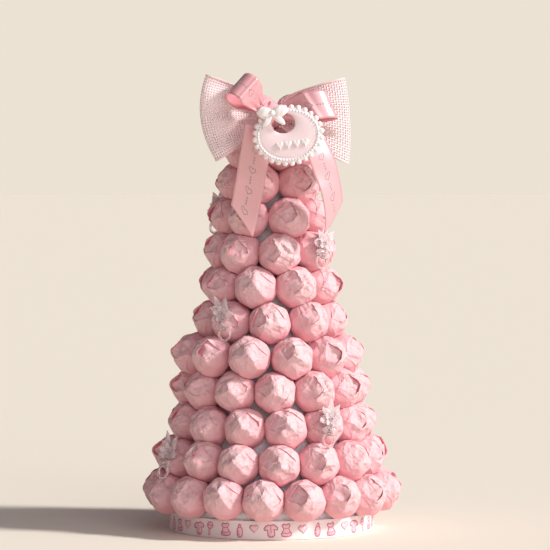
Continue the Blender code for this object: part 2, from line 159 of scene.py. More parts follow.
def two_toned(tree, shader, pattern, tones, relief=None):
    """Mixes two tones by a pattern, which also raises the surface by relief: its strength and height."""
    first, second = ((*tone, 1) for tone in tones)
    mixed = node(tree, "ShaderNodeMix", {"Factor": pattern, "A": first, "B": second}, data_type="RGBA")
    tree.links.new(mixed.outputs["Result"], shader.inputs["Base Color"])
    if relief:
        raised(tree, shader, pattern, *relief)
    return mixed.outputs["Result"]


def grained(name, roughness, tones, scale, relief=None, detail=2.0, sockets=None):
    """A material of two tones in a cloudy grain of this scale; with no detail its grain is round cells."""
    made, tree, shader = finish_of(name, roughness, tones[0], sockets)
    where = node(tree, "ShaderNodeTexCoord").outputs["Object"]
    if detail:
        pattern = cloudy(tree, where, scale, detail)
    else:
        pattern = node(tree, "ShaderNodeTexVoronoi", {"Vector": where, "Scale": scale}).outputs["Distance"]
    two_toned(tree, shader, pattern, tones, relief)
    return made


foam = grained("white_foam", 0.85, FOAM_TONES, 330.0, (0.6, -0.0008), detail=0)
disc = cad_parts["base_disc"]
disc.data.materials.clear()
disc.data.materials.append(foam)

# Ribbon round the disc. A white satin ribbon is glued round the disc's edge and lapped at the back. Pink baby
# motifs are printed along it: hearts, bottles, little dresses, shirts and rattles.
GAP = 0.0003
BAND_THICKNESS, BAND_FOOT, BAND_LAP = 0.0009, 0.0004, 0.0003
BAND_INNER, BAND_TOP = DISC_RADIUS + GAP, DISC_HEIGHT - GAP
BAND_STEPS, BAND_LEVELS = 360, 9
BAND_TONES = ((0.84, 0.71, 0.72), (0.92, 0.84, 0.84))
LINE_TONES = ((0.68, 0.085, 0.215), (0.80, 0.20, 0.33))
FILL_TONES = ((0.84, 0.50, 0.575), (0.89, 0.66, 0.71))
MOTIF_PITCH, MOTIF_LINE, PRINT_THICKNESS = 0.0118, 0.00070, 0.00012
LINE_LIFT, FILL_LIFT, FILL_THICKNESS = 0.00008, 0.00005, 0.00008
HEART_SIZE, HEART_RISE, MOTIF_SIZE = 0.0078, 0.0016, 0.0106
MOTIF_SEED = 41
MOTIF_ORDER = (
    "heart", "bottle", "dress", "heart", "shirt", "rattle", "dress", "bottle", "heart", "shirt", "dress",
)


def skin_faces(rows, count, start=0, first_pole=None, last_pole=None, closed=False, flipped=False):
    """Faces of rows of points round an axis. An end may meet in a pole, or the last row meet the first."""
    faces = []
    for r in range(rows if closed else rows - 1):
        here, onward = start + r * count, start + (r + 1) % rows * count
        for k in range(count):
            faces.append((here + k, onward + k, onward + (k + 1) % count, here + (k + 1) % count))
    last = start + (rows - 1) * count
    if first_pole is not None:
        faces += [(first_pole, start + k, start + (k + 1) % count) for k in range(count)]
    if last_pole is not None:
        faces += [(last_pole, last + (k + 1) % count, last + k) for k in range(count)]
    return [(face[0], *face[:0:-1]) for face in faces] if flipped else faces


def joined(shapes):
    """Points and faces of several shapes as those of one."""
    points, faces = [], []
    for own_points, own_faces in shapes:
        faces += [tuple(i + len(points) for i in face) for face in own_faces]
        points += list(own_points)
    return points, faces


def fitted(piece, stands_for=None):
    """Sets a piece on the tower's one body; stands_for names the solid that it replaces."""
    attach(piece, "root")
    if stands_for:
        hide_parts(stands_for)
    return piece


def new_tree(name, sockets):
    """A Geometry Nodes tree with named inputs, each of a kind and with its usual value or None."""
    tree = bpy.data.node_groups.new(name, "GeometryNodeTree")
    tree.interface.new_socket("Geometry", in_out="OUTPUT", socket_type="NodeSocketGeometry")
    for label, kind, usual in sockets:
        socket = tree.interface.new_socket(label, in_out="INPUT", socket_type="NodeSocket" + kind)
        if usual is not None:
            socket.default_value = usual
    return tree, node(tree, "NodeGroupInput").outputs


def finished_tree(tree, geometry, finish):
    """Ends a tree with its copies made real and their finish put on."""
    real = node(tree, "GeometryNodeRealizeInstances", {"Geometry": geometry})
    coated = node(tree, "GeometryNodeSetMaterial", {"Geometry": real.outputs[0], "Material": finish})
    node(tree, "NodeGroupOutput", {"Geometry": coated.outputs[0]})
    return tree


def swept_tree():
    """Geometry Nodes that turn runs of points into flat threads, lying across each point's facing."""
    tree, given = new_tree("swept", (
        ("Geometry", "Geometry", None), ("Width", "Float", None), ("Thickness", "Float", None),
        ("Sides", "Int", 6), ("Finish", "Material", None),
    ))
    facing = node(tree, "GeometryNodeInputNamedAttribute", {"Name": "facing"}, data_type="FLOAT_VECTOR")
    line = node(tree, "GeometryNodeMeshToCurve", {"Mesh": given["Geometry"]})
    across = {"Curve": line.outputs[0], "Normal": facing.outputs["Attribute"]}
    turned = node(tree, "GeometryNodeSetCurveNormal", across, mode="FREE")
    ring = node(tree, "GeometryNodeCurvePrimitiveCircle", {"Resolution": given["Sides"], "Radius": 0.5})
    flat = node(tree, "ShaderNodeCombineXYZ", {"X": given["Thickness"], "Y": given["Width"], "Z": 1.0})
    profile = node(tree, "GeometryNodeTransform", {"Geometry": ring.outputs[0], "Scale": flat.outputs[0]})
    threads = {"Curve": turned.outputs[0], "Profile Curve": profile.outputs[0], "Fill Caps": True}
    swept = node(tree, "GeometryNodeCurveToMesh", threads)
    return finished_tree(tree, swept.outputs[0], given["Finish"])


def holder_of(name, points, edges, values):
    """Points and edges with values held at each point, for a tree to read."""
    mesh = bpy.data.meshes.new(name)
    mesh.from_pydata([tuple(p) for p in points], edges, [])
    for label, kind, each in values:
        held = mesh.attributes.new(label, kind, "POINT")
        each = np.array(each, dtype=int if kind == "INT" else float)
        held.data.foreach_set("vector" if kind == "FLOAT_VECTOR" else "value", each.ravel())
    return linked(name, mesh)


def grown(holder, tree, inputs, name):
    """Runs a tree on an object and returns the result as a plain piece at the origin."""
    modifier = holder.modifiers.new("make", "NODES")
    modifier.node_group = tree
    for item in tree.interface.items_tree:
        if item.in_out == "INPUT" and item.name in inputs:
            modifier[item.identifier] = inputs[item.name]
    bpy.context.view_layer.update()
    graph = bpy.context.evaluated_depsgraph_get()
    mesh = bpy.data.meshes.new_from_object(holder.evaluated_get(graph))
    bpy.data.objects.remove(holder)
    mesh.name = name
    return linked(name, mesh)


def threads_of(name, runs, width, thickness, sides, finish, closed=False):
    """Flat threads along runs of points, each run with the way that every point faces."""
    places, facing, edges = [], [], []
    for line, ways in runs:
        start = len(places)
        places += list(line)
        facing += list(ways)
        edges += [(start + k, start + k + 1) for k in range(len(line) - 1)]
        if closed:
            edges.append((start + len(line) - 1, start))
    holder = holder_of(name + "_runs", places, edges, [("facing", "FLOAT_VECTOR", facing)])
    sizes = {"Width": width, "Thickness": thickness, "Sides": sides, "Finish": finish}
    return grown(holder, tree_swept, sizes, name)


def heart(size, count):
    """The outline of a heart in a plane, about size across."""
    t = np.linspace(0, 2 * math.pi, count, endpoint=False)
    wide = 16 * np.sin(t) ** 3
    high = 13 * np.cos(t) - 5 * np.cos(2 * t) - 2 * np.cos(3 * t) - np.cos(4 * t)
    return np.stack((wide * size / 32, high * size / 32), axis=1)


def rounded(corners, soften=0.25):
    """A closed outline with its corners cut, in tenths of the motif's height."""
    corners = np.array(corners, float)
    ahead, behind = np.roll(corners, -1, 0), np.roll(corners, 1, 0)
    cut = (corners + (behind - corners) * soften, corners + (ahead - corners) * soften)
    return np.stack(cut, axis=1).reshape(-1, 2)


def band_reach(turn, height):
    """The ribbon's outer face: slightly puckered, and lapped over itself at the back."""
    pucker = 0.00010 * np.sin(23 * turn + 0.8 * np.sin(3 * turn)) + 0.00007 * np.sin(41 * turn + 300 * height)
    lap = BAND_LAP * np.clip((turn / math.pi - 0.97) / 0.03, 0, 1)
    return BAND_INNER + BAND_THICKNESS * 0.66 + pucker + lap


def on_band(flat, turn, height, size, tilt):
    """Points of a flat motif, laid on the ribbon's face, and the ways it faces there."""
    x = (flat[:, 0] * math.cos(tilt) - flat[:, 1] * math.sin(tilt)) * size / 10
    z = (flat[:, 0] * math.sin(tilt) + flat[:, 1] * math.cos(tilt)) * size / 10
    angle, up = turn + x / BAND_INNER, height + z
    reach = band_reach(angle, up)
    ways = np.stack((np.sin(angle), -np.cos(angle), np.zeros(len(angle))), axis=1)
    return np.stack((reach * np.sin(angle), -reach * np.cos(angle), up), axis=1), ways


tree_swept = swept_tree()
band_satin, tree, shader = finish_of("band_satin", 0.34, BAND_TONES[0], {"Sheen Weight": 0.2})
where = node(tree, "ShaderNodeTexCoord").outputs["Object"]
squeezed = node(tree, "ShaderNodeMapping", {"Vector": where, "Scale": (1.0, 1.0, 14.0)})
two_toned(tree, shader, cloudy(tree, squeezed.outputs[0], 260.0, 3.0), BAND_TONES, (0.3, 0.0003))
motif_line = grained("band_print", 0.5, LINE_TONES, 900.0)
motif_fill = grained("band_print_fill", 0.5, FILL_TONES, 700.0)

turns = np.linspace(-math.pi, math.pi, BAND_STEPS, endpoint=False)
levels = [(height, band_reach(turns, height)) for height in np.linspace(BAND_FOOT, BAND_TOP, BAND_LEVELS)]
levels += [(height, np.full(BAND_STEPS, BAND_INNER)) for height in (BAND_TOP, BAND_FOOT)]
points = []
for height, reach in levels:
    points += [(r * math.sin(t), -r * math.cos(t), height) for r, t in zip(reach, turns)]
faces = skin_faces(len(levels), BAND_STEPS, closed=True, flipped=True)
ribbon_band = fitted(
    piece_of("banded_ribbon", points, faces, band_satin, sharp=50), "printed_band",
)

# Motifs in tenths of their height: closed outlines, and strokes inside them
dress = [(-4.2, -4), (0, -5), (4.2, -4), (1.4, 1), (3, 2.6), (2, 4.4), (0.8, 3.6)]
dress += [(-0.8, 3.6), (-2, 4.4), (-3, 2.6), (-1.4, 1)]
shirt = [(-2.4, -4.4), (2.4, -4.4), (2.2, 1), (4.4, 0), (4.8, 2.2), (1.6, 4.4), (0, 3.4)]
shirt += [(-1.6, 4.4), (-4.8, 2.2), (-4.4, 0), (-2.2, 1)]
bottle = [(-2, -5), (2, -5), (2, 1), (1, 2), (1, 3), (0.5, 4.6), (-0.5, 4.6), (-1, 3), (-1, 2), (-2, 1)]
rattle_turn = np.linspace(0, 2 * math.pi, 18, endpoint=False)
rattle = np.stack((2.3 * np.cos(rattle_turn), 2.2 + 2.3 * np.sin(rattle_turn)), axis=1)
handle = [(-0.5, -0.4), (0.5, -0.4), (0.5, -3.4), (1.3, -4.6), (-1.3, -4.6), (-0.5, -3.4)]
bottle_lines = [[(-1.9, -2.6), (-0.6, -2.6)], [(-1.9, -0.8), (-0.6, -0.8)], [(-1, 2.2), (1, 2.2)]]
motifs = {
    "heart": ([heart(8.4, 26)], []),
    "bottle": ([rounded(bottle)], bottle_lines),
    "dress": ([rounded(dress)], [[(-1.4, 1.0), (1.4, 1.0)], [(-2.6, -2.0), (0, -2.6), (2.6, -2.0)]]),
    "shirt": ([rounded(shirt)], [[(0, 3.2), (0, -1.6)]]),
    "rattle": ([rattle, rounded(handle)], [[(-2.1, 2.2), (2.1, 2.2)]]),
}
uneven = np.random.default_rng(MOTIF_SEED)
count = int(2 * math.pi * BAND_INNER / MOTIF_PITCH)
lines, strokes, fills = [], [], []
for k in range(count):
    turn = -math.pi + 2 * math.pi * (k + 0.5 + uneven.uniform(-0.08, 0.08)) / count
    kind = MOTIF_ORDER[k % len(MOTIF_ORDER)]
    size = (HEART_SIZE if kind == "heart" else MOTIF_SIZE) * uneven.uniform(0.94, 1.04)
    height = (BAND_TOP + BAND_FOOT) / 2 + uneven.uniform(-0.0007, 0.0005)
    height += HEART_RISE if kind == "heart" else 0
    laid = (turn, height, size, uneven.uniform(-0.16, 0.16))
    outlines, inner_lines = motifs[kind]
    for outline in outlines:
        drawn, ways = on_band(outline, *laid)
        lines.append((drawn + ways * LINE_LIFT, ways))
        centre = outline.mean(axis=0)
        filled = np.concatenate((outline, centre + (outline - centre) * 0.5, centre[None]))
        drawn, ways = on_band(filled, *laid)
        n = len(outline)
        fills.append((drawn + ways * FILL_LIFT, skin_faces(2, n, last_pole=2 * n, flipped=True)))
    for stroke in inner_lines:
        stroke = np.array(stroke, float)
        steps = np.linspace(0, len(stroke) - 1, 7)
        fine = np.stack([np.interp(steps, np.arange(len(stroke)), stroke[:, c]) for c in (0, 1)], axis=1)
        drawn, ways = on_band(fine, *laid)
        strokes.append((drawn + ways * LINE_LIFT, ways))
outlines = threads_of("band_motif_outlines", lines, MOTIF_LINE, PRINT_THICKNESS, 4, motif_line, True)
details = threads_of("band_motif_details", strokes, MOTIF_LINE * 0.8, PRINT_THICKNESS, 4, motif_line)
fills = piece_of("band_motif_fills", *joined(fills), motif_fill)
fills.modifiers.new("ink", "SOLIDIFY").thickness = FILL_THICKNESS
for piece in (outlines, details, fills):
    fitted(piece)

# Foam cone. A cone of the same white foam is glued upright on the disc. The balls are pinned to it, and it
# shows only as slivers between them. Its flank is a little hollow.
CONE_FOOT_Z, CONE_TOP_Z = DISC_HEIGHT, 0.3200
CONE_RADII = (0.0730, 0.0308, 0.0015)
CONE_PRESSED = 0.0030
CONE_LEVELS, CONE_SEGMENTS = 64, 72


def cone_radius(z):
    """The radius at height z, on a curve through those at the foot, half way up and at the tip."""
    middle = (CONE_FOOT_Z + CONE_TOP_Z) / 2
    foot, half, tip = CONE_RADII
    return (
        foot * (z - middle) * (z - CONE_TOP_Z) / ((CONE_FOOT_Z - middle) * (CONE_FOOT_Z - CONE_TOP_Z))
        + half * (z - CONE_FOOT_Z) * (z - CONE_TOP_Z) / ((middle - CONE_FOOT_Z) * (middle - CONE_TOP_Z))
        + tip * (z - CONE_FOOT_Z) * (z - middle) / ((CONE_TOP_Z - CONE_FOOT_Z) * (CONE_TOP_Z - middle))
    )


def facing_out(piece):
    """Turns every face of a piece outwards."""
    bm = bmesh.new()
    bm.from_mesh(piece.data)
    bmesh.ops.recalc_face_normals(bm, faces=bm.faces)
    bm.to_mesh(piece.data)
    bm.free()
    return piece


turns = 2 * math.pi * np.arange(CONE_SEGMENTS) / CONE_SEGMENTS
points = []
for height in np.linspace(DISC_HEIGHT, CONE_TOP_Z, CONE_LEVELS):
    reach = cone_radius(height) + CONE_PRESSED
    points += [(reach * math.cos(t), reach * math.sin(t), height) for t in turns]
poles = len(points), len(points) + 1
points += [(0, 0, DISC_HEIGHT), (0, 0, CONE_TOP_Z)]
cone = piece_of("carved_cone", points, skin_faces(CONE_LEVELS, CONE_SEGMENTS, 0, *poles), foam)
fitted(facing_out(cone), "foam_cone")

# Wrapped chocolates. Each is a ball wrapped in a square of soft pink foil-backed paper, pulled taut into flat
# facets and folded shut on its outer side. The balls are pinned and glued to the cone in twelve rings,
# pressed on each other.
SWEET_RADIUS, SWEET_PITCH = 0.0157, 0.0305
TIER_COUNTS = (17, 15, 13, 12, 11, 9, 8, 7, 6, 5, 4, 3)
TIER_TURNS = (-4.0, 4.7, 9.7, 2.8, 16.4, -1.4, -17.0, 10.3, -34.2, -22.1, 17.5, -30.0)
FIRST_TIER_Z, TIER_RISE = 0.0300, 0.0260
PROUD_TIER, PROUD_REACH = 4, 0.0050
UNEVEN, UNEVEN_SEED, DEALT_SEED, WRAPPER_SEED = 0.0007, 11, 5, 100
WRAPPERS = 16
EDGE_SHARPNESS, FULLEST, PAPER = 36, 1.03, 0.00022
LAYER_LIFT, FLAP_LIFT, LAYER_SUNK, FLAP_SUNK = 0.0002, 0.0004, 0.0006, 0.0004
PRESSED_APART, CRISP_FOLD = 0.0001, 17
PAPER_TONES = ((0.840, 0.515, 0.542), (0.880, 0.595, 0.616))
# Painted shade: a deep red mixed into the paper under the lifted edges of the folds, in the open pocket and
# round the sides and underneath, for the shade and bounce light there
PAPER_PAINTED_SHADE = (0.74, 0.14, 0.22)
# Flats of the taut paper: tilt from the ball's outer side, turns round it, reach in radii, and how much the
# tilt and the turn vary, all angles in degrees. The pocket is the flat that lies open under the last layer.
FLATS = (
    (87, (0, 60, 120, 180, 240, 300), 0.975, 3, 8),
    (60, (-110, -55, 0, 52, 105), 0.950, 4, 12),
    (135, (0, 72, 144, 216, 288), 0.940, 5, 8),
    (55, (155,), 0.925, 3, 8),
    (57, (-156,), 0.925, 3, 8),
    (31, (85,), 0.935, 5, 14),
    (25, (15,), 0.925, 5, 14),
    (37, (-82,), 0.930, 4, 12),
)
POCKET = (42, 171, 0.880, 2, 5)
BALL_ROWS = (3, *range(7, 88, 5), 93, 99, 106, 115, 126, 142, 162)
BALL_SEGMENTS, FLAP_SEGMENTS, RIM_POINTS = 72, 44, 240
# Rows of the last layer and of the side flap: share of the way out, side, and how much painted shade the row
# gets, most where it is sunk and under its lifted edges
LAYER_SHARES = (0, 0.04, 0.10, 0.17, 0.25, 0.34, 0.44, 0.55, 0.66, 0.77, 0.89, 1.0)
LAYER_ROWS = [(0.10, "sunk", 1.0), (0.0, "under", 0.45)] + [(part, "top", 0.0) for part in LAYER_SHARES]
LAYER_ROWS += [(1.0, "under", 0.4), (0.93, "sunk", 0.8)]
FLAP_ROWS = [(part, "top", 0.0) for part in (0.01, 0.3, 0.6, 0.8, 0.92, 1.0)]
FLAP_ROWS += [(1.0, "under", 0.8), (0.86, "sunk", 1.0), (0.01, "sunk", 1.0)]


def sweet_places():
    """Each tier's centres and their turns to the right of the front."""
    uneven = np.random.default_rng(UNEVEN_SEED)
    tiers = []
    for tier, count in enumerate(TIER_COUNTS):
        ring = []
        for i in range(count):
            out, up = uneven.uniform(-UNEVEN, UNEVEN, 2)
            turn = math.radians(TIER_TURNS[tier] + 360 * i / count)
            proud = PROUD_REACH * (1 - math.sin(turn)) / 2 if tier == PROUD_TIER else 0
            reach = SWEET_PITCH / (2 * math.sin(math.pi / count)) + proud + out
            height = FIRST_TIER_Z + TIER_RISE * tier + up
            ring.append((np.array((reach * math.sin(turn), -reach * math.cos(turn), height)), turn))
        tiers.append(ring)
    return tiers


def flank_lean(z):
    """How far the cone's flank leans back from upright at height z."""
    return math.atan2(cone_radius(z - 0.001) - cone_radius(z + 0.001), 0.002)


def facets(ways, normals, reach):
    """How far out a ball cut flat by planes lies in each direction, its edges rounded over."""
    facing = np.clip(ways @ normals.T / reach, 0, None)
    flat = (facing**EDGE_SHARPNESS).sum(axis=1) ** (-1 / EDGE_SHARPNESS)
    return np.minimum(flat, FULLEST * SWEET_RADIUS)


def unit_ways(ways):
    """Directions of length 1."""
    return ways / np.linalg.norm(ways, axis=-1, keepdims=True)


def on_creases(ways, normals, reach, room):
    """Moves directions that nearly meet a crease or a corner between facets onto it, by no more than room."""
    facing = ways @ normals.T / reach
    order = np.argsort(-facing, axis=1)
    first, second, third = (normals[order[:, k]] / reach[order[:, k], None] for k in range(3))
    across = first - second
    slip = across * ((across * ways).sum(1) / (across**2).sum(1))[:, None]
    near = np.linalg.norm(slip, axis=1) < room
    moved = np.where(near[:, None], ways - slip, ways)
    corner = np.cross(across, first - third)
    corner /= np.linalg.norm(corner, axis=1)[:, None] + 1e-9
    corner *= np.sign((corner * ways).sum(1))[:, None]
    at_corner = np.linalg.norm(corner - ways, axis=1) < room
    return unit_ways(np.where(at_corner[:, None], corner, moved))


def around(theta, phi):
    """Directions from the ball's centre: theta away from its outer side (-Y), phi round that."""
    return np.stack((np.sin(theta) * np.cos(phi), -np.cos(theta), np.sin(theta) * np.sin(phi)), axis=-1)


def flat_of(theta, phi):
    """The flat place of a direction theta away from the outer side and phi round it, both in degrees."""
    theta, phi = math.radians(theta), math.radians(phi)
    return theta * math.cos(phi), theta * math.sin(phi)


def directions_at(flat):
    """Directions from the ball's centre at flat places."""
    return around(np.linalg.norm(flat, axis=1), np.arctan2(flat[:, 1], flat[:, 0]))


def outline_of(corners, count):
    """Points spread evenly round a polygon of flat places, with its corners kept."""
    corners = np.array(corners)
    following = np.roll(corners, -1, axis=0)
    lengths = np.linalg.norm(following - corners, axis=1)
    share = np.maximum(2, np.round(count * lengths / lengths.sum()).astype(int))
    share[share.argmax()] += count - share.sum()
    steps = [np.linspace(0, 1, n, endpoint=False)[:, None] for n in share]
    return np.concatenate([a + (b - a) * step for a, b, step in zip(corners, following, steps)])


def crumple(flat, uneven, count, extent, slope, rounding=0.02):
    """Height of small creased facets at points of a plane, in mm, from two draws of tilted planes."""
    height = 0
    for sign in (1, -1):
        middles = uneven.uniform(-extent, extent, (count, 2))
        tilts = uneven.normal(0, slope, (count, 2))
        away = flat[:, None] - middles
        height = height + sign * ((away * tilts).sum(2) - (away**2).sum(2) * rounding).max(axis=1)
    return np.clip(height, -1.2, 1.2)


def painted_side_shade(ways):
    """Painted shade: the paper is coloured deeper pink round its sides and underneath, where the wrappers
    face each other, for the shade and bounce light between them.
    """
    angle = np.degrees(np.arccos(np.clip(-ways[:, 1], -1, 1)))
    return 0.17 * np.clip((angle - 38) / 40, 0, 1) + 0.12 * np.clip(-ways[:, 2] * 2 - 0.3, 0, 1)


def folded(row, rows, segments):
    """A fold of paper through its rows, closed underneath, and the painted shade of its points: that of their
    row, or the painted shade round the wrapper's sides where that is more.
    """
    skin = np.concatenate([row(part, side) for part, side, painted_shade in rows])
    painted_shade = np.repeat([painted_shade for part, side, painted_shade in rows], segments)
    return skin, skin_faces(len(rows), segments, closed=True), np.maximum(painted_shade, painted_side_shade(unit_ways(skin)))


def wrapper(seed):
    """One wrapped ball: taut facets that rise to a low peak on its outer side, the last folded layer over
    them, open in a V on its left, and a side flap. Gives points, faces and the painted shade of each point."""
    uneven = np.random.default_rng(seed)

    def cut(tilt, turn, reach, sway, turn_sway):
        tilt, turn = tilt + uneven.uniform(-sway, sway), turn + uneven.uniform(-turn_sway, turn_sway)
        reach += uneven.uniform(-0.010, 0.010)
        return around(np.radians(tilt), np.radians(turn)), SWEET_RADIUS * reach

    def planes(cuts):
        return np.array([normal for normal, reach in cuts]), np.array([reach for normal, reach in cuts])

    cuts = [cut(tilt, turn, *rest) for tilt, turns, *rest in FLATS for turn in turns]
    pocket = cut(*POCKET)
    cover, taut = planes(cuts), planes(cuts + [pocket])
    angles, strengths = uneven.uniform(0, 6.28, 5), uneven.uniform(0.4, 1.0, 5)
    pleats = [(around(np.array(1.5), angle), strength) for angle, strength in zip(angles, strengths)]
    draws = uneven.integers(1 << 30, size=3)
    crest = np.array((-0.03, uneven.uniform(-0.06, 0.06)))

    def base(ways):
        """The taut paper, with a few shallow pleats up its sides."""
        out = facets(ways, *taut)
        for axis, strength in pleats:
            side = ways @ axis * SWEET_RADIUS * 1000
            step = np.exp(-np.clip(side, 0, None) / 3.5) / (1 + np.exp(-np.clip(side / 0.16, -50, 50)))
            out = out + 0.00018 * strength * step * np.clip(1.0 - 1.8 * np.abs(ways[:, 1] + 0.1), 0, 1)
        return out

    def crease(ways, draw, count, slope, middle, fade):
        """Creases round a middle on the outer side, which fade out over fade mm."""
        angle = np.arccos(np.clip(-ways[:, 1], -1, 1)) / np.maximum(np.hypot(ways[:, 0], ways[:, 2]), 1e-6)
        place = (ways[:, [0, 2]] * angle[:, None] - middle) * SWEET_RADIUS * 1000
        height = crumple(place, np.random.default_rng(draws[draw]), count, fade, slope)
        return 0.001 * height * np.clip(1.3 - np.linalg.norm(place, axis=1) / fade, 0, 1)

    def ball(ways):
        return base(ways) + crease(ways, 0, 9, 0.30, crest - (0.2, 0), 7.0)

    # the ball, its points moved onto the creases that they nearly meet, with a little painted shade all over
    # and more round its sides and underneath
    turns = np.linspace(0, 2 * math.pi, BALL_SEGMENTS, endpoint=False)
    theta, phi = np.repeat(np.radians(BALL_ROWS), BALL_SEGMENTS), np.tile(turns, len(BALL_ROWS))
    room = 0.46 * np.minimum(math.radians(5), np.sin(theta) * 2 * math.pi / BALL_SEGMENTS)
    ways = np.concatenate((on_creases(around(theta, phi), *taut, room), ((0, -1.0, 0), (0, 1.0, 0))))
    faces = skin_faces(len(BALL_ROWS), BALL_SEGMENTS, 0, len(theta), len(theta) + 1)
    skins = [(ways * ball(ways)[:, None], faces, 0.08 + painted_side_shade(ways))]

    # the last layer's inner edge, round the open pocket: a point on the left, and a ragged edge on the right
    tip = flat_of(uneven.uniform(66, 76), 180 + uneven.uniform(-6, 6))
    upper = flat_of(uneven.uniform(42, 50), 124 + uneven.uniform(-8, 6))
    lower = flat_of(uneven.uniform(32, 42), -145 + uneven.uniform(-8, 14))
    teeth = []
    for k in range(7):
        rise = lower[1] + (upper[1] - lower[1]) * (k + 1 + uneven.uniform(-0.3, 0.3)) / 8
        across = np.linspace(-1.0, 0.6, 81)
        ways = directions_at(np.stack((across, np.full(81, rise)), axis=1))
        pressed = ways @ pocket[0] / pocket[1] > (ways @ cover[0].T / cover[1]).max(axis=1)
        edge = across[pressed].max() if pressed.any() else -0.3
        teeth.append((edge + 0.018 * (-1) ** k + uneven.uniform(-0.03, 0.03), rise))
    hole = outline_of([tip, lower, *teeth, upper], BALL_SEGMENTS)

    # its outer edge, a polygon of five or six corners, met in the same directions from the pocket's middle
    angles = np.arctan2(hole[:, 1] - 0.06, hole[:, 0] + 0.50)
    corners = int(uneven.integers(5, 7))
    start = uneven.uniform(0, 360)
    rim = []
    for i in range(corners):
        rim.append(flat_of(uneven.uniform(66, 82), start + 360 * i / corners + uneven.uniform(-12, 12)))
    rim = outline_of(rim, RIM_POINTS)
    rim_angles = np.arctan2(rim[:, 1], rim[:, 0])
    order = np.argsort(rim_angles)
    reach = np.linalg.norm(rim, axis=1)[order]
    reach = np.interp(angles, rim_angles[order], reach, period=2 * math.pi)
    outer = np.stack((reach * np.cos(angles), reach * np.sin(angles)), axis=1)

    # how far its edges stand off the paper under them
    on_crest = np.zeros(BALL_SEGMENTS)
    on_crest[BALL_SEGMENTS // 3 : -BALL_SEGMENTS // 6] = 1
    travel = np.linspace(0, 2 * math.pi, BALL_SEGMENTS, endpoint=False)
    sway = uneven.uniform(0, 2 * math.pi, 4)
    lips = 0.00012 + 0.00030 * np.clip(np.sin(7 * travel + sway[0]), 0, 1)
    lips = 0.00018 * (1 - on_crest) + on_crest * lips
    flare = 0.00015 * np.sin(2 * travel + sway[1]) + 0.0002 * np.sin(5 * travel + sway[2])
    flare = np.clip(flare, 0.00002, None)

    def layer_row(part, side):
        place = hole + (outer - hole) * part
        ways = directions_at(place)
        if side == "sunk":
            return ways * (base(ways) - LAYER_SUNK)[:, None]
        if 0 < part < 1:
            apart = np.linalg.norm(np.roll(place, 1, 0) - place, axis=1)
            room = 0.46 * np.minimum(0.09 * np.linalg.norm(outer - hole, axis=1), apart)
            ways = on_creases(ways, *cover, room)
        height = np.maximum(facets(ways, *cover), base(ways)) + LAYER_LIFT
        height = height + lips * max(0, 1 - part * 2.2) ** 2 + flare * part**6
        height = height + crease(ways, 1, 12, 0.55, crest + (0.16, 0.05), 6.0)
        height = height + crease(ways, 2, 34, 0.30, crest, 13.0)
        height = np.maximum(height, ball(ways) + LAYER_LIFT)
        return ways * (height - (PAPER if side == "under" else 0))[:, None]

    skins.append(folded(layer_row, LAYER_ROWS, BALL_SEGMENTS))

    # the side flap, whose inner edge stands off the layer under it
    turn = uneven.choice((40, 60, 85, 15, -30)) + uneven.uniform(-12, 12)
    width, gap = uneven.uniform(34, 48), uneven.uniform(40, 50)
    corners = [(gap, turn - width), (78, turn - width * 0.9), (86, turn), (78, turn + width * 0.9)]
    corners.append((gap + 6, turn + width))
    edge = outline_of([flat_of(*corner) for corner in corners], FLAP_SEGMENTS)
    middle = np.array(flat_of(63, turn))
    lifted = math.radians(58) - edge @ np.array(flat_of(1, turn)) / math.radians(1)
    lifted = np.clip(lifted / math.radians(14), 0, 1)
    slit = np.clip(np.sin(np.linspace(0, 9, FLAP_SEGMENTS) + sway[3]), 0, 1)
    slit = lifted * (0.0001 + 0.0005 * slit)

    def flap_row(part, side):
        ways = directions_at(middle + (edge - middle) * part)
        if side == "sunk":
            return ways * (base(ways) - FLAP_SUNK)[:, None]
        height = np.maximum(facets(ways, *cover), base(ways)) + FLAP_LIFT
        height = height + slit * part**3 - 0.0009 * (1 - lifted) * part**4
        return ways * (height - (PAPER if side == "under" else 0))[:, None]

    skins.append(folded(flap_row, FLAP_ROWS, FLAP_SEGMENTS))
    points, faces = joined([skin[:2] for skin in skins])
    return np.array(points), faces, np.concatenate([skin[2] for skin in skins])


def set_out_tree():
    """Geometry Nodes that set copies of a collection's pieces on points and make them one mesh."""
    tree, given = new_tree("set_out", (
        ("Geometry", "Geometry", None), ("Pieces", "Collection", None), ("Size", "Float", 1.0),
        ("Finish", "Material", None),
    ))
    apart = {"Collection": given["Pieces"], "Separate Children": True, "Reset Children": True}
    pieces = node(tree, "GeometryNodeCollectionInfo", apart)
    which, turn, size = (
        node(tree, "GeometryNodeInputNamedAttribute", {"Name": label}, data_type=kind).outputs["Attribute"]
        for label, kind in (("which", "INT"), ("turn", "FLOAT_VECTOR"), ("size", "FLOAT"))
    )
    scale = node(tree, "ShaderNodeMath", {0: size, 1: given["Size"]}, operation="MULTIPLY")
    rotation = node(tree, "FunctionNodeEulerToRotation", {"Euler": turn})
    placed = node(tree, "GeometryNodeInstanceOnPoints", {
        "Points": given["Geometry"], "Instance": pieces.outputs[0], "Pick Instance": True,
        "Instance Index": which, "Rotation": rotation.outputs[0], "Scale": scale.outputs[0],
    })
    return finished_tree(tree, placed.outputs[0], given["Finish"])


def set_out(name, collection, places, turns, which, sizes, finish):
    """Copies of a collection's pieces set on places, as one piece."""
    values = [("turn", "FLOAT_VECTOR", turns), ("which", "INT", which), ("size", "FLOAT", sizes)]
    holder = holder_of(name + "_places", places, [], values)
    return grown(holder, tree_set_out, {"Pieces": collection, "Finish": finish}, name)


paper, tree, shader = finish_of("pink_paper", 0.58, PAPER_TONES[0], {"Specular IOR Level": 0.35})
where = node(tree, "ShaderNodeTexCoord").outputs["Object"]
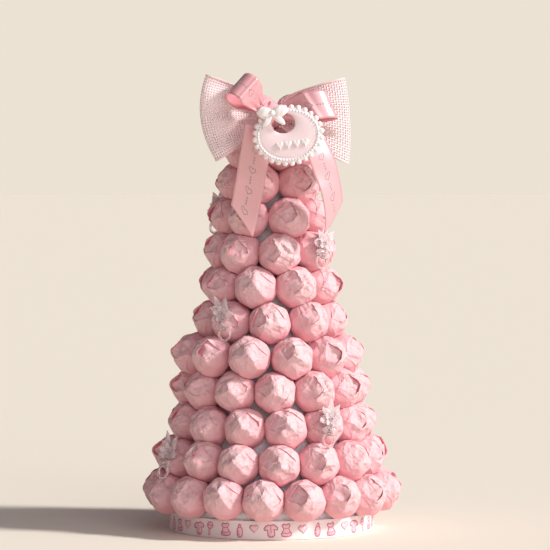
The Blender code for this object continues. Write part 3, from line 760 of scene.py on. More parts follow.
# painted shade: each point's share of the deep red, for the shade under the folds and round the sides
painted_shade = node(tree, "ShaderNodeAttribute", attribute_name="painted_shade").outputs["Fac"]
tone = two_toned(tree, shader, cloudy(tree, where, 130.0, 3.0), PAPER_TONES)
deep = node(tree, "ShaderNodeMix", {"Factor": painted_shade, "A": tone, "B": (*PAPER_PAINTED_SHADE, 1)}, data_type="RGBA")
tree.links.new(deep.outputs["Result"], shader.inputs["Base Color"])
# creases in the paper, large and small; they fade with the painted shade, where the paper lies taut at the
# sides and within the folds
bent = node(tree, "ShaderNodeMapping", {"Vector": where, "Rotation": (0.7, 0.4, 0.9)}).outputs[0]
large = node(tree, "ShaderNodeTexVoronoi", {"Vector": bent, "Scale": 125.0}, distance="MANHATTAN")
small = node(tree, "ShaderNodeTexVoronoi", {"Vector": bent, "Scale": 340.0}, distance="MANHATTAN")
finer = node(tree, "ShaderNodeMath", {0: small.outputs["Distance"], 1: 0.2}, operation="MULTIPLY")
relief = node(tree, "ShaderNodeMath", {0: large.outputs["Distance"], 1: finer.outputs[0]}, operation="ADD")
fading = node(tree, "ShaderNodeMath", {0: painted_shade, 1: -2.4}, operation="MULTIPLY")
loose = node(tree, "ShaderNodeMath", {0: fading.outputs[0], 1: 1.0}, operation="ADD", use_clamp=True)
raised(tree, shader, relief.outputs[0], loose.outputs[0], 0.0022)

# sixteen wrappers, every second one folded the other way round
wrapped = bpy.data.collections.new("wrappers")
for kind in range(WRAPPERS):
    points, faces, painted_shade = wrapper(WRAPPER_SEED + kind)
    if kind % 2:
        points = points * (-1, 1, 1)
        faces = [face[::-1] for face in faces]
    mesh = bpy.data.meshes.new(f"wrapper_{kind:02d}")
    mesh.from_pydata(points.tolist(), [], faces)
    mesh.attributes.new("painted_shade", "FLOAT", "POINT").data.foreach_set("value", painted_shade)
    wrapped.objects.link(bpy.data.objects.new(f"wrapper_{kind:02d}", mesh))

tree_set_out = set_out_tree()
tiers = sweet_places()
centres = np.array([place for ring in tiers for place, turn in ring])
dealt = np.random.default_rng(DEALT_SEED)
for tier, ring in enumerate(tiers):
    places = [place for place, turn in ring]
    turns, which, sizes = [], [], []
    for place, turn in ring:
        lean = dealt.uniform(-0.1, 0.1) - flank_lean(place[2])
        facing = Matrix.Rotation(turn, 3, "Z") @ Matrix.Rotation(lean, 3, "X")
        facing = facing @ Matrix.Rotation(dealt.uniform(-0.22, 0.22), 3, "Y")
        turns.append(tuple(facing.to_euler()))
        mirrored = 0 if math.sin(turn) > -0.05 else 1
        which.append(2 * int(dealt.integers(WRAPPERS // 2)) + mirrored)
        sizes.append(dealt.uniform(0.985, 1.015))
    piece = set_out(f"wrapped_tier_{tier + 1:02d}", wrapped, places, turns, which, sizes, paper)

    # each ball is pressed flat where it meets its neighbours, and cut off just above the cone
    vertices = piece.data.vertices
    corners = np.empty(len(vertices) * 3)
    vertices.foreach_get("co", corners)
    corners = corners.reshape(-1, 3)
    owner = np.linalg.norm(corners[:, None] - np.array(places), axis=2).argmin(axis=1)
    for i, (place, turn) in enumerate(ring):
        mine = owner == i
        local = corners[mine] - place
        for there in centres:
            apart = there - place
            length = np.linalg.norm(apart)
            if 0 < length < 2.2 * SWEET_RADIUS:
                unit = apart / length
                beyond = local @ unit - (length / 2 - PRESSED_APART)
                local -= np.clip(beyond, 0, None)[:, None] * unit * 0.97
        lean = flank_lean(place[2])
        inward = -np.array(outward(turn, lean))
        to_flank = math.hypot(place[0], place[1]) - cone_radius(place[2]) - CONE_PRESSED
        to_cone = to_flank * math.cos(lean) - 2 * GAP
        local -= np.clip(local @ inward - to_cone, 0, None)[:, None] * inward
        corners[mine] = place + local
    if tier == 0:
        corners[:, 2] = np.maximum(corners[:, 2], DISC_HEIGHT + GAP)
    vertices.foreach_set("co", corners.ravel())
    piece.data.update()
    piece.data.set_sharp_from_angle(angle=math.radians(CRISP_FOLD))
    fitted(piece, f"sweets_tier_{tier + 1:02d}")

# Bow of open-weave ribbon. It is 65 mm wide, woven from stiff flat threads with gaps between them, pleated
# together at its waist and folded over into one wide loop on each side. Its edges are bound with pink thread.
WAIST = Vector((0.0000, -0.0400, 0.3170))
KNOT_CENTRE = WAIST + Vector((-0.0020, -0.0145, 0.0))
KNOT_HALF = Vector((0.0062, 0.0172, 0.0085))
MESH_RIBBON_WIDTH, MESH_WAIST_WIDTH = 0.0650, 0.0180
MESH_LOOP_FRONT, MESH_LOOP_BACK, MESH_ENDS_APART = 0.0060, 0.0130, 0.0022
MESH_PLEATS, MESH_PLEAT_DEPTH = 3, 0.0030
THREAD_PITCH, THREAD_WIDTH, THREAD_THICKNESS, THREAD_CROSSING = 0.00205, 0.00132, 0.00026, 0.00008
BINDING_WIDTH, BINDING_THICKNESS = 0.0018, 0.0006
WOVEN_TO, BOUND_AT = 0.97, 0.985
THREAD_TONES = ((1.0, 0.745, 0.765), (1.0, 0.86, 0.87))
BINDING_COLOUR = (0.93, 0.66, 0.68)


def loop_curve(u, length, front, back, ends_apart):
    """How far a teardrop loop has gone out and backwards at u along it, and its swell, 1 at its tip."""
    turn = np.radians(16 + 328 * u)
    swell = (1 - np.cos(turn)) / 2
    bulge = -np.sin(turn) * swell / 0.65
    return length * swell, bulge * np.where(bulge > 0, back, front) - ends_apart * np.cos(turn / 2), swell


def mesh_loop(side, length, tip_bulge, tip_tilt, rise, forward, ripple):
    """The loop's place at u along the ribbon and v across it."""

    def place(u, v):
        u, v = np.broadcast_arrays(u, v)
        out, back, swell = loop_curve(u, length, MESH_LOOP_FRONT, MESH_LOOP_BACK, MESH_ENDS_APART)
        half = MESH_WAIST_WIDTH / 2 + (MESH_RIBBON_WIDTH - MESH_WAIST_WIDTH) / 2 * swell**0.75
        gathered = (1 - swell) ** 0.8
        pleat = MESH_PLEAT_DEPTH * np.sin(np.pi * MESH_PLEATS * v) * gathered
        small_pleat = np.sin(np.pi * 5.3 * v + ripple) * np.sin(np.pi * np.clip(2 * swell, 0, 1))
        pleat = pleat + 0.0011 * small_pleat * gathered**0.7
        pleat = pleat + 0.0010 * np.sin(2.2 * v + 5 * u + ripple) * swell
        across = out + KNOT_HALF.x + 2 * GAP + (tip_bulge * (1 - v * v) + tip_tilt * v) * swell
        depth = WAIST.y + back + pleat - forward * swell**2
        return np.stack((WAIST.x + side * across, depth, WAIST.z + v * half + rise * swell), axis=-1)

    return place


def run_along(line):
    """How far along a line each of its points lies."""
    return np.concatenate(((0,), np.cumsum(np.linalg.norm(np.diff(line, axis=0), axis=1))))


def evenly(place, v, pitch):
    """Values of u at about this pitch along the line of v, and the line's length."""
    fine = np.linspace(0, 1, 600)
    run = run_along(place(fine, v))
    return np.interp(np.linspace(0, run[-1], int(round(run[-1] / pitch)) + 1), run, fine), run[-1]


def facing_at(place, u, v):
    """The way a ribbon's face points at u along it and v across it."""
    along = place(np.clip(u + 0.002, 0, 1), v) - place(np.clip(u - 0.002, 0, 1), v)
    across = place(u, np.clip(v + 0.01, -1, 1)) - place(u, np.clip(v - 0.01, -1, 1))
    return unit_ways(np.cross(along, across))


def woven_run(place, u, v, number, crossing):
    """One thread of the weave, which goes over and under those that it crosses."""
    ways = facing_at(place, u, v)
    over = crossing * np.cos(math.pi * (np.arange(len(ways)) / 2 + number))
    return place(u, v) + ways * over[:, None], ways


sheen = {"Specular IOR Level": 0.3, "Sheen Weight": 0.5, "Sheen Roughness": 0.6}
thread = grained("mesh_ribbon_thread", 0.60, THREAD_TONES, 900.0, (0.4, 0.0002), sockets=sheen)
binding, tree, shader = finish_of("mesh_ribbon_binding", 0.5, BINDING_COLOUR)
where = node(tree, "ShaderNodeTexCoord").outputs["Object"]
raised(tree, shader, cloudy(tree, where, 1200.0), 0.4, 0.0002)

for name, place in (
    ("left", mesh_loop(-1, 0.0380, 0.0080, 0.0037, -0.0034, 0.0090, 0.4)),
    ("right", mesh_loop(1, 0.0500, 0.0024, -0.0015, -0.0056, 0.0, 2.1)),
):
    wefts, length = evenly(place, 0.0, THREAD_PITCH)
    warps = np.linspace(-WOVEN_TO, WOVEN_TO, int(round(MESH_RIBBON_WIDTH / THREAD_PITCH)))
    along = np.interp(np.arange(0, len(wefts) - 0.5, 0.5), np.arange(len(wefts)), wefts)
    across = np.linspace(-WOVEN_TO, WOVEN_TO, 2 * len(warps) - 1)
    runs = [woven_run(place, along, v, number, THREAD_CROSSING) for number, v in enumerate(warps)]
    runs += [woven_run(place, u, across, number, -THREAD_CROSSING) for number, u in enumerate(wefts)]
    woven = threads_of(f"woven_loop_{name}", runs, THREAD_WIDTH, THREAD_THICKNESS, 5, thread)
    fitted(woven, f"mesh_loop_{name}")
    u = np.linspace(0, 1, 90)
    edges = [(place(u, v), facing_at(place, u, v)) for v in (-BOUND_AT, BOUND_AT)]
    bound = threads_of(f"bound_edges_{name}", edges, BINDING_WIDTH, BINDING_THICKNESS, 6, binding)
    fitted(bound)

# Satin bow. A 22 mm satin ribbon is tied over the open-weave bow: two loops, a knot and two hanging tails cut
# on the slant. It has a bright face with a fine rib across, and small silver-grey motifs printed along it.
SATIN_WIDTH, SATIN_THICKNESS = 0.0220, 0.0005
SATIN_TONES = ((0.76, 0.335, 0.37), (0.83, 0.435, 0.465))
# Painted glow: the satin's other side, which lines the loops, is a deeper, brighter pink for the light
# shining through the satin and bouncing within the loops
SATIN_GLOW_TONES = ((0.84, 0.33, 0.39), (0.90, 0.43, 0.48))
# Painted glow: the knot, in the bib's shade, is a lighter, vivid coral so that it looks lit through the neck
# hole
SATIN_KNOT_GLOW_TONES = ((0.98, 0.40, 0.43), (1.0, 0.50, 0.53))
SILVER_TONES = ((0.30, 0.28, 0.30), (0.62, 0.55, 0.57))
PRINT_PITCH, PRINT_LINE, INK_THICKNESS, INK_CLEAR = 0.0078, 0.00055, 0.00014, 0.00004
PRINT_HEART, PRINT_DOT, PRINT_DOT_PLACES = 0.0054, 0.00042, (-0.0021, 0.0, 0.0021)
# The tails' curves, each by its ends and the two places that draw it
LEFT_TAIL = (
    (-0.0090, -0.0640, 0.3080), (-0.0120, -0.0600, 0.2880),
    (-0.0160, -0.0475, 0.2600), (-0.0218, -0.0460, 0.2367),
)
RIGHT_TAIL = (
    (0.0290, -0.0600, 0.3000), (0.0370, -0.0600, 0.2860),
    (0.0480, -0.0520, 0.2620), (0.0471, -0.0450, 0.2381),
)


def satin_loop(start, direction, width_direction, length, depth, ridge, skew):
    """A loop of ribbon from the knot, pinched into a ridge at (u, slant, height) on its front;
    its lower edge reaches further out by skew."""
    ahead = Vector(direction).normalized()
    wide = Vector(width_direction)
    wide = (wide - ahead * wide.dot(ahead)).normalized()
    aside = ahead.cross(wide)

    def place(u, v):
        u, v = np.broadcast_arrays(u, v)
        out, back, swell = loop_curve(u, length, depth / 2, depth / 2, 0.0014)
        out = out - skew * v * swell
        half = SATIN_WIDTH / 2 * (0.45 + 0.55 * np.minimum(1.0, 2.2 * swell))
        back = back + 0.0009 * np.sin(2.6 * np.pi * v) * np.clip(1 - 2.2 * swell, 0, 1)
        back = back + ridge[2] * np.exp(-(((u - ridge[0] - ridge[1] * v) / 0.024) ** 2))
        centre = np.array(KNOT_CENTRE + Vector(start)) + out[..., None] * np.array(ahead)
        return centre + back[..., None] * np.array(aside) + (v * half)[..., None] * np.array(wide)

    return place


def satin_tail(points, facing, cut, ripple):
    """A hanging tail along a Bezier curve, with a slanted end."""
    start, first, second, end = (np.array(p) for p in points)
    facing_first, facing_last = (np.array(way) for way in facing)

    def place(u, v):
        u, v = np.broadcast_arrays(u, v)
        t = (u * (1 + cut * v))[..., None]
        s = 1 - t
        centre = start * s**3 + first * 3 * s * s * t + second * 3 * s * t * t + end * t**3
        heading = (first - start) * s * s + (second - first) * 2 * s * t + (end - second) * t * t
        wide = unit_ways(np.cross(heading, facing_first + (facing_last - facing_first) * np.minimum(1, t)))
        normal = unit_ways(np.cross(wide, heading))
        wave = ripple * np.sin(1.3 * v[..., None] + 6.0 * t) * np.sin(math.pi * np.minimum(1, t * 1.6))
        return centre + wide * (v * SATIN_WIDTH / 2)[..., None] + normal * wave

    return place


def ribbon(name, place, along, across, face, inner):
    """A strip of ribbon of real thickness, its one side in the face finish and its other side in the
    painted-glow finish, its UV map in ribbon widths, and its length.
    """
    u, v = np.meshgrid(np.linspace(0, 1, along + 1), np.linspace(-1, 1, across + 1), indexing="ij")
    rows = across + 1
    faces = []
    for k in range(along):
        faces += [(a, a + 1, a + rows + 1, a + rows) for a in range(k * rows, k * rows + across)]
    piece = piece_of(name, place(u, v).reshape(-1, 3), faces, face)
    piece.data.materials.append(inner)
    length = run_along(place(np.linspace(0, 1, 200), 0.0))[-1]
    corner = np.empty(len(piece.data.loops), int)
    piece.data.loops.foreach_get("vertex_index", corner)
    chart = np.stack((u.ravel()[corner] * length / SATIN_WIDTH, v.ravel()[corner] / 2 + 0.5), axis=1)
    piece.data.uv_layers.new(name="ribbon").data.foreach_set("uv", chart.ravel())
    wall = piece.modifiers.new("thickness", "SOLIDIFY")
    wall.material_offset = 1
    wall.thickness = SATIN_THICKNESS
    wall.offset = 0
    return piece, float(length)


def satin_side(name, roughness, tones, gloss):
    """One face of the satin: ribbed across, with the bright streak of its threads."""
    made, tree, shader = finish_of(name, roughness, tones[0], {
        "Specular IOR Level": gloss, "Anisotropic": 0.7,
        "Coat Weight": gloss, "Coat Roughness": 0.36, "Coat IOR": 1.9,
    })
    chart = node(tree, "ShaderNodeUVMap", uv_map="ribbon").outputs["UV"]
    stretched = node(tree, "ShaderNodeMapping", {"Vector": chart, "Scale": (60.0, 3.0, 1.0)})
    two_toned(tree, shader, cloudy(tree, stretched.outputs[0], 1.0, 3.0), tones, (0.25, 0.0002))
    along = node(tree, "ShaderNodeTangent", direction_type="UV_MAP", uv_map="ribbon")
    tree.links.new(along.outputs[0], shader.inputs["Tangent"])
    return made


def printed(name, place, length, lift, upright):
    """Open hearts and rows of three dots in turn along a ribbon, as thin raised lines on one face."""
    turn = np.linspace(0, 2 * math.pi, 9)
    dot = PRINT_DOT * np.stack((np.cos(turn), np.sin(turn)), axis=1)
    outline = heart(PRINT_HEART, 26)
    motifs = [[np.concatenate((outline, outline[:1]))], [dot + (0, z) for z in PRINT_DOT_PLACES]]
    runs = []
    for k in range(int((length - 0.004) / PRINT_PITCH)):
        for drawn in motifs[k % 2]:
            u = (0.005 + k * PRINT_PITCH + upright * drawn[:, 1]) / length
            v = drawn[:, 0] / (SATIN_WIDTH / 2)
            ways = facing_at(place, u, v)
            runs.append((place(u, v) + ways * lift, ways))
    return threads_of(name, runs, PRINT_LINE, INK_THICKNESS, 4, silver)


def ball_of(name, segments, rings, shaped):
    """A sphere's mesh, with each point of a ball of radius 1 moved to where shaped puts it."""
    bm = bmesh.new()
    bmesh.ops.create_uvsphere(bm, u_segments=segments, v_segments=rings, radius=1.0)
    for vertex in bm.verts:
        vertex.co = shaped(vertex.co)
    mesh = bpy.data.meshes.new(name)
    bm.to_mesh(mesh)
    bm.free()
    mesh.shade_smooth()
    return mesh


def knotted(at):
    """A ball's point on the knot, which is drawn in and folded along its wrap."""
    x, y, z = at
    swell = 1 - 0.10 * math.cos(4 * math.atan2(y, x))
    swell += 0.035 * math.sin(9 * x + 1.2 * math.sin(3 * math.atan2(z, y)))
    return KNOT_CENTRE + Vector((x * KNOT_HALF.x * swell, y * KNOT_HALF.y * swell, z * KNOT_HALF.z * swell))


satin = satin_side("pink_satin", 0.34, SATIN_TONES, 0.85)
# painted glow: the second finish lies on the ribbon's other side, a deeper pink for light through the satin
# within the loops
satin_glow_side = satin_side("pink_satin_painted_glow", 0.42, SATIN_GLOW_TONES, 0.4)
silver = grained("silver_print", 0.35, SILVER_TONES, 1500.0, sockets={"Metallic": 0.35})
left_loop = satin_loop(
    (-0.0065, -0.0055, 0.0045), (-0.71, -0.14, 0.70), (-0.56, -0.36, -0.77), 0.0250, 0.0190,
    (0.71, 0.0, 0.0014), 0.0,
)
right_loop = satin_loop(
    (0.0085, -0.0045, 0.0010), (0.989, -0.05, 0.147), (-0.405, 0.16, 0.90), 0.0390, 0.0170,
    (0.738, 0.03, 0.0015), 0.0030,
)
for name, place, steps, held in (
    ("loop_left", left_loop, 96, "folded"),
    ("loop_right", right_loop, 120, "folded"),
    ("tail_left", satin_tail(LEFT_TAIL, ((0.20, -1.0, 0.2), (0.05, -1.0, -0.25)), -0.14, 0.0026), 60, "hung"),
    ("tail_right", satin_tail(RIGHT_TAIL, ((0.45, -1.0, 0.42), (0.80, -0.6, 0.0)), 0.14, 0.0014), 60, "hung"),
):
    piece, length = ribbon(f"satin_{name}_cloth", place, steps, 12, satin, satin_glow_side)
    fitted(piece, f"satin_{name}")
    # the print is on a loop's outer face, and on the face of a tail that looks to the front
    to_front = facing_at(place, np.array(0.3), np.array(0.0))[1] <= 0
    face = 1 if held == "hung" and to_front else -1
    lift = face * (SATIN_THICKNESS / 2 + INK_CLEAR)
    marks = printed(f"print_{name}", place, length, lift, -1 if held == "hung" else 1)
    fitted(marks)

mesh = ball_of("satin_knot_wrap", 56, 28, knotted)
chart = mesh.uv_layers.new(name="ribbon")
for loop in mesh.loops:
    x, y, z = (mesh.vertices[loop.vertex_index].co - KNOT_CENTRE) / SATIN_WIDTH
    chart.data[loop.index].uv = (math.atan2(z, y) / 2, x)
# painted glow: a lighter coral stands for light on the knot, which the bib shades
mesh.materials.append(satin_side("pink_satin_knot_glow", 0.42, SATIN_KNOT_GLOW_TONES, 0.4))
fitted(linked("satin_knot_wrap", mesh), "satin_knot")

# Bib charm. A baby's bib moulded in pale pink resin, with a round neck hole, a row of small raised hearts, a
# rim of white moulded pearls with stitches inside it, and a small white bow. It hangs in front of the knot.
BIB_CENTRE = Vector((0.0128, -0.0742, 0.3008))
BIB_HALF_WIDTH, BIB_HALF_HEIGHT, BIB_THICKNESS = 0.0227, 0.0187, 0.0032
BIB_FACES_BACK, BIB_TURN = Vector((0.03, 1.0, -0.03)), math.radians(8)
NECK_RADIUS, NECK_SQUASH, NECK_ASIDE, NECK_RISE = 0.0088, 0.86, -0.0025, 0.0094
BIB_SEGMENTS, LACE_SEGMENTS = 96, 120
# The plate's section from the neck hole to its edge and back: share of the way out, depth in thicknesses
PLATE_SECTION = (
    (1.0, 0.30), (1.0, -0.30), (0.985, -0.42), (0.95, -0.50), (0.80, -0.60), (0.60, -0.66), (0.40, -0.66),
    (0.20, -0.60), (0.06, -0.50), (0.015, -0.42), (0.0, -0.30), (0.0, 0.30), (0.02, 0.45), (0.5, 0.50),
    (0.98, 0.45),
)
RAISED_HEARTS, RAISED_HEART_SIZE, RAISED_HEART_PITCH = 4, 0.0058, 0.0063
FIRST_HEART_X, HEARTS_Z = -0.0074, -0.0066
HEART_SECTION = ((1.0, -0.50), (1.0, -0.86), (0.94, -0.97), (0.80, -1.03), (0.45, -1.04))
PEARLS, STITCHES, TRIM_SEED = 28, 60, 21
PEARL_HALF, BEAD_HALF = (0.0023, 0.0017, 0.0021), (0.00085, 0.0009, 0.00085)
STITCH_HALF, STITCH_CLEAR = (0.00028, 0.0002, 0.00062), 0.0012
# How far inside the plate's edge the pearls, beads, lace and stitches lie
PEARLS_IN, BEADS_IN, LACE_IN, STITCHES_IN = -0.0019, 0.0004, -0.0006, 0.0036
BOW_ASIDE, BOW_PROUD, BOW_RISE = -0.0095, 0.0024, 0.0178
BOW_LOOP, BOW_TAIL, BOW_KNOT = (0.0060, 0.0021, 0.0043), (0.0062, 0.0015, 0.0023), (0.0026, 0.0028, 0.0025)
RESIN_TONES = ((0.96, 0.755, 0.785), (0.99, 0.83, 0.855))
TRIM_TONES = ((0.95, 0.83, 0.84), (0.99, 0.92, 0.92))


def ring_of(half_width, half_height, count, offset=0.0):
    """Evenly spaced places round an ellipse, and the turn of each."""
    fine = np.linspace(0, 2 * math.pi, 2000)
    run = run_along(np.stack((half_width * np.cos(fine), half_height * np.sin(fine)), axis=1))
    t = np.interp(np.linspace(0, run[-1], count, endpoint=False) + offset * run[-1] / count, run, fine)
    tilts = np.arctan2(np.sin(t) * half_width, np.cos(t) * half_height)
    return np.stack((half_width * np.cos(t), half_height * np.sin(t)), axis=1), tilts


def round_the_bib(inset, count, depth, offset=0.0):
    """Places on the bib's face round its edge, inset from it, and the turn of a piece at each."""
    places, tilts = ring_of(BIB_HALF_WIDTH - inset, BIB_HALF_HEIGHT - inset, count, offset)
    return [(x, depth, z) for x, z in places], [(0, -t, 0) for t in tilts]


def small_round(name, segments, rings, half):
    """A bead of these half sizes, to be set out many times."""
    shaped = ball_of(name, segments, rings, lambda at: Vector(a * b for a, b in zip(at, half)))
    return bpy.data.objects.new(name, shaped)


def set_on_bib(name, pieces, places, turns, which, sizes):
    """Copies of small white pieces on the bib, as one piece."""
    gathered = bpy.data.collections.new(name)
    for piece in pieces:
        gathered.objects.link(piece)
    made = set_out(name, gathered, places, turns, which, sizes, trim)
    made.data.transform(bib_place)
    return made


def lobe(scale, place, wave=0.0, segments=28, rings=16):
    """A puffed loop of moulded ribbon, creased along its length; without a wave it is a smooth bead."""
    points = []
    for r in range(1, rings):
        polar = math.pi * r / rings
        for k in range(segments):
            turn = 2 * math.pi * k / segments
            x, y, z = -math.cos(polar), math.sin(polar) * math.cos(turn), math.sin(polar) * math.sin(turn)
            swell = 0.62 + 0.38 * math.sin(math.pi * (0.20 + 0.62 * r / rings))
            swell += wave * math.cos(5 * turn + 1.5 * x) + 0.5 * wave * math.sin(8 * x + 3 * turn)
            points.append(place @ Vector((x * scale[0], y * scale[1] * swell, z * scale[2] * swell)))
    count = len(points)
    points += [place @ Vector((-scale[0], 0, 0)), place @ Vector((scale[0], 0, 0))]
    return points, skin_faces(rings - 1, segments, 0, count, count + 1)


def spun(degrees):
    """A turn in the plane of a charm's face."""
    return Matrix.Rotation(math.radians(degrees), 4, "Y")


soft = {"Subsurface Weight": 0.15, "Subsurface Scale": 0.002}
resin = grained("bib_resin", 0.42, RESIN_TONES, 160.0, (0.12, 0.0006), 3.0, soft)
soft = {"Subsurface Weight": 0.15, "Subsurface Scale": 0.0015}
trim = grained("white_trim", 0.38, TRIM_TONES, 420.0, (0.2, 0.0003), sockets=soft)
back = BIB_FACES_BACK.normalized()
right = back.cross(Vector((0, 0, 1))).normalized()
bib_place = Matrix((right, back, right.cross(back))).transposed() @ Matrix.Rotation(-BIB_TURN, 3, "Y")
bib_place = Matrix.Translation(BIB_CENTRE) @ bib_place.to_4x4()

# the plate, lofted from the neck hole to its edge, which lies where each way out of the hole meets an ellipse
turn = np.linspace(0, 2 * math.pi, BIB_SEGMENTS, endpoint=False)
ways = np.stack((np.cos(turn), np.sin(turn)), axis=1)
neck, half = np.array((NECK_ASIDE, NECK_RISE)), np.array((BIB_HALF_WIDTH, BIB_HALF_HEIGHT))
hole = neck + ways * (NECK_RADIUS, NECK_RADIUS * NECK_SQUASH)
a = ((ways / half) ** 2).sum(axis=1)
b = 2 * (neck * ways / half**2).sum(axis=1)
c = ((neck / half) ** 2).sum() - 1
rim = neck + ways * ((-b + np.sqrt(b * b - 4 * a * c)) / (2 * a))[:, None]
points = []
for part, depth in PLATE_SECTION:
    points += [(x, depth * BIB_THICKNESS, z) for x, z in hole + (rim - hole) * part]
faces = skin_faces(len(PLATE_SECTION), BIB_SEGMENTS, closed=True)
fitted(facing_out(piece_of("bib_plate", points, faces, resin, bib_place, 40)), "bib")

hearts = []
outline = heart(RAISED_HEART_SIZE, 28)
rows, count = len(HEART_SECTION), len(outline)
faces = skin_faces(rows, count, last_pole=rows * count, flipped=True) + [tuple(range(count - 1, -1, -1))]
for k in range(RAISED_HEARTS):
    centre_x = FIRST_HEART_X + RAISED_HEART_PITCH * k
    points = [
        (centre_x + x * size, depth * BIB_THICKNESS, HEARTS_Z + z * size)
        for size, depth in HEART_SECTION for x, z in outline
    ]
    hearts.append((points + [(centre_x, HEART_SECTION[-1][1] * BIB_THICKNESS, HEARTS_Z)], faces))
fitted(facing_out(piece_of("bib_hearts", *joined(hearts), trim, bib_place, 50)))

# the edging: large pearls round the rim, small beads inside them, a band of lace under both, and stitches
uneven = np.random.default_rng(TRIM_SEED)
bead, pearl = small_round("bead", 8, 5, BEAD_HALF), small_round("pearl", 12, 8, PEARL_HALF)
spots, turns = round_the_bib(PEARLS_IN, PEARLS, -0.0002)
bead_spots, bead_turns = round_the_bib(BEADS_IN, PEARLS * 2, -0.0018, 0.25)
which = [1] * PEARLS + [0] * len(bead_spots)
sizes = [*uneven.uniform(0.92, 1.08, PEARLS), *uneven.uniform(0.85, 1.15, len(bead_spots))]
pearls = set_on_bib("bib_pearls", [bead, pearl], spots + bead_spots, turns + bead_turns, which, sizes)
fitted(pearls, "bib_edging")
lace, tilts = ring_of(BIB_HALF_WIDTH - LACE_IN, BIB_HALF_HEIGHT - LACE_IN, LACE_SEGMENTS)
out = np.stack((np.cos(tilts), np.sin(tilts)), axis=1)
scallop = 0.0007 + 0.0005 * np.abs(np.sin(np.arange(LACE_SEGMENTS) * math.pi * PEARLS / LACE_SEGMENTS))
inner, outer = lace - out * 0.0022, lace + out * scallop[:, None]
section = (
    (inner, -0.0014), (inner, -0.0017), ((inner + outer) / 2, -0.0018), (outer, -0.0013), (outer, 0.0010),
    (inner, 0.0010),
)
points = [(x, depth, z) for flat, depth in section for x, z in flat]
faces = skin_faces(len(section), LACE_SEGMENTS, closed=True, flipped=True)
fitted(piece_of("bib_lace", points, faces, trim, bib_place, 50))
spots, turns = round_the_bib(STITCHES_IN, STITCHES, -0.60 * BIB_THICKNESS)
kept = []
for k, (x, depth, z) in enumerate(spots):
    if math.hypot(x - NECK_ASIDE, (z - NECK_RISE) / NECK_SQUASH) > NECK_RADIUS + STITCH_CLEAR:
        kept.append(k)
stitch = small_round("stitch", 6, 4, STITCH_HALF)
spots, turns = [spots[k] for k in kept], [turns[k] for k in kept]
fitted(set_on_bib("bib_stitches", [stitch], spots, turns, [0] * len(kept), [1.0] * len(kept)))

# the small bow on the neck: two puffed loops with creases towards the knot, two tails and the knot
bow_place = bib_place @ Matrix.Translation((BOW_ASIDE, -BIB_THICKNESS / 2 - BOW_PROUD, BOW_RISE))
shapes = []
for side in (-1, 1):
    loop_place = Matrix.Translation((side * 0.0055, 0, 0.0008)) @ spun(-12 * side)
    tail_place = Matrix.Translation((side * 0.0042, 0, -0.0050)) @ spun(48 * side)
    shapes.append(lobe(BOW_LOOP, loop_place, 0.13))
    shapes.append(lobe(BOW_TAIL, tail_place, 0.10))
shapes.append(lobe(BOW_KNOT, Matrix.Identity(4), 0.06))
bow = piece_of("bib_bow_moulded", *joined(shapes), trim, bow_place)
fitted(facing_out(bow), "bib_bow")

# Charms. Each is a flower of frosted clear plastic with three leaves, and a small clear dummy hangs from it.
# The flower is pinned through the paper of a sweet.
# Tier and place in it, turn to the right of the front, lean to the right, in degrees
CHARMS = (
    (7, 1, 32.0, 22.0), (2, 1, 20.0, 14.0), (5, -1, -24.0, -17.0), (1, -3, -40.0, 2.0),
    (8, -1, -142.0, 4.0), (3, 5, 146.0, 8.0), (6, 4, 170.0, -12.0), (2, -6, -150.0, 5.0),
)
CHARM_LEAN, CHARM_THICKNESS, CHARM_STAND_OFF, CHARM_SEED = math.radians(12), 0.0026, 0.0159, 31
FROSTED_TONES = ((1.0, 0.90, 0.915), (1.0, 0.80, 0.83))
CLEAR_TONES = ((1.0, 0.80, 0.82), (1.0, 0.92, 0.925))
# The two rows of petals: length, width, thickness, first turn, sway, cup between, fold and how far in front
PETALS = (
    (0.0098, 0.0072, 0.0014, 36, 6, (0.0006, 0.0020), 0.0008, 0.0),
    (0.0066, 0.0050, 0.0012, 0, 8, (0.0024, 0.0036), 0.0007, 0.0007),
)
# The leaves: lean, length, width
LEAVES = ((-12, 0.0162, 0.0052), (24, 0.0136, 0.0056), (-46, 0.0118, 0.0044))
LEAF_THICKNESS, LEAF_FOLD, LEAF_BEHIND = 0.0013, 0.0006, 0.0006
FLOWER_RISE, BUDS, BUD_REACH, BUD_PROUD, BUD_HALF = 0.0036, 6, 0.0013, 0.0016, (0.0007, 0.0007, 0.0007)
DUMMY_PROUD, DUMMY_DROP = 0.0010, 0.0058
SHIELD_HALF, BUTTON_HALF, BUTTON_PROUD = (0.0068, 0.0014, 0.0038), (0.0021, 0.0027, 0.0021), 0.0008
# The dummy's ring and the eye above it: half width, half height, thickness of the round
DUMMY_RING, RING_PROUD, RING_DROP = (0.0044, 0.0050, 0.0010), 0.0002, 0.0066
DUMMY_EYE, EYE_RISE = (0.0009, 0.0016, 0.0004), 0.0046


def petal(length, width, thick, cup, fold, place):
    """A pointed petal or leaf from its root at the origin along +Z, cupped towards the front."""
    points, steps, segments = [], 9, 12
    for r in range(1, steps):
        t = r / steps
        half = width / 2 * math.sin(math.pi * t)
        for k in range(segments):
            turn = 2 * math.pi * k / segments
            x, y = math.cos(turn), math.sin(turn)
            dish = fold * abs(x) - cup * t * t - cup * 0.5 * x * x * math.sin(math.pi * t)
            y = thick / 2 * y * (1 - 0.6 * abs(x)) * (1.1 - t) + dish
            points.append(place @ Vector((half * x, y, length * t)))
    count = len(points)
    points += [place @ Vector((0, 0, 0)), place @ Vector((0, -cup, length))]
    return points, skin_faces(steps - 1, segments, 0, count, count + 1)


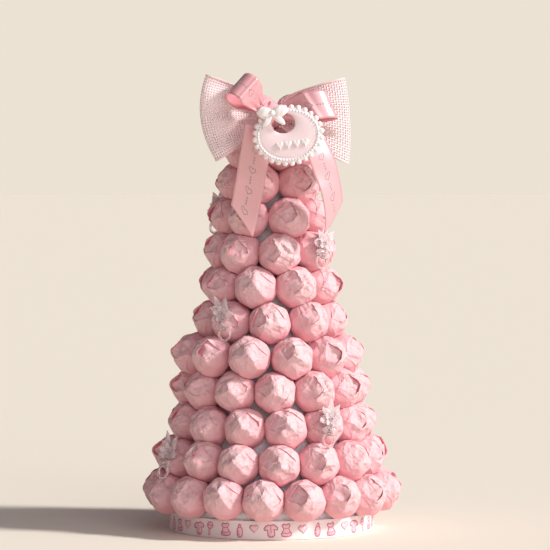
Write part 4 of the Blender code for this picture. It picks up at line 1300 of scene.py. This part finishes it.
def moulded_ring(half_width, half_height, radius, place, steps=26, sides=8):
    """An upright ring of round section."""
    points = []
    for k in range(steps):
        t = 2 * math.pi * k / steps
        way = Vector((math.cos(t), 0, math.sin(t)))
        centre = Vector((half_width * way.x, 0, half_height * way.z))
        for j in range(sides):
            a = 2 * math.pi * j / sides
            round_it = way * radius * math.cos(a) + Vector((0, radius * math.sin(a), 0))
            points.append(place @ (centre + round_it))
    return points, skin_faces(steps, sides, closed=True, flipped=True)


clouded = {"Transmission Weight": 0.45, "IOR": 1.25}
frosted = grained("frosted_plastic", 0.22, FROSTED_TONES, 900.0, (0.5, 0.0004), 0, clouded)
see_through = {"Transmission Weight": 0.75, "IOR": 1.45}
clear = grained("clear_plastic", 0.08, CLEAR_TONES, 300.0, sockets=see_through)
uneven = np.random.default_rng(CHARM_SEED)
for number, (tier, which, degrees, sideways) in enumerate(CHARMS, 1):
    turn = math.radians(degrees)
    out = outward(turn, CHARM_LEAN)
    side = Vector((math.cos(turn), math.sin(turn), 0))
    upright = Matrix((side, -out, side.cross(-out))).transposed().to_4x4() @ spun(sideways)
    centre = Vector(tiers[tier][which][0])
    at_flower = Matrix.Translation(centre + out * (CHARM_STAND_OFF + CHARM_THICKNESS / 2)) @ upright
    at_flower = at_flower @ Matrix.Translation((0, 0, FLOWER_RISE))
    shapes = []
    for k in range(5):
        for length, width, thick, first, sway, (least, most), fold, front in PETALS:
            spin = spun(72 * k + first + uneven.uniform(-sway, sway))
            place = at_flower @ Matrix.Translation((0, -front, 0)) @ spin
            shapes.append(petal(length, width, thick, uneven.uniform(least, most), fold, place))
    for lean, length, width in LEAVES:
        place = at_flower @ Matrix.Translation((0, LEAF_BEHIND, 0)) @ spun(lean + uneven.uniform(-3, 3))
        shapes.append(petal(length, width, LEAF_THICKNESS, uneven.uniform(0.0004, 0.0020), LEAF_FOLD, place))
    for k in range(BUDS):
        a = 2 * math.pi * k / BUDS
        bud = Matrix.Translation((BUD_REACH * math.cos(a), -BUD_PROUD, BUD_REACH * math.sin(a)))
        shapes.append(lobe(BUD_HALF, at_flower @ bud, 0.0, 8, 6))
    flower = piece_of(f"flower_{number:02d}", *joined(shapes), frosted)
    fitted(facing_out(flower), f"rosette_{number:02d}")

    # the dummy's shield and button, its large ring below and the small eye that it hangs from
    at_dummy = Matrix.Translation(centre + out * (CHARM_STAND_OFF + CHARM_THICKNESS)) @ upright
    at_dummy = at_dummy @ Matrix.Translation((0, -DUMMY_PROUD, -DUMMY_DROP))
    shapes = [
        lobe(SHIELD_HALF, at_dummy, 0.0, 20, 10),
        lobe(BUTTON_HALF, at_dummy @ Matrix.Translation((0, -BUTTON_PROUD, 0)), 0.0, 14, 8),
        moulded_ring(*DUMMY_RING, at_dummy @ Matrix.Translation((0, -RING_PROUD, -RING_DROP))),
        moulded_ring(*DUMMY_EYE, at_dummy @ Matrix.Translation((0, 0, EYE_RISE)), 14, 6),
    ]
    dummy = piece_of(f"hanging_dummy_{number:02d}", *joined(shapes), clear)
    fitted(facing_out(dummy), f"dummy_{number:02d}")
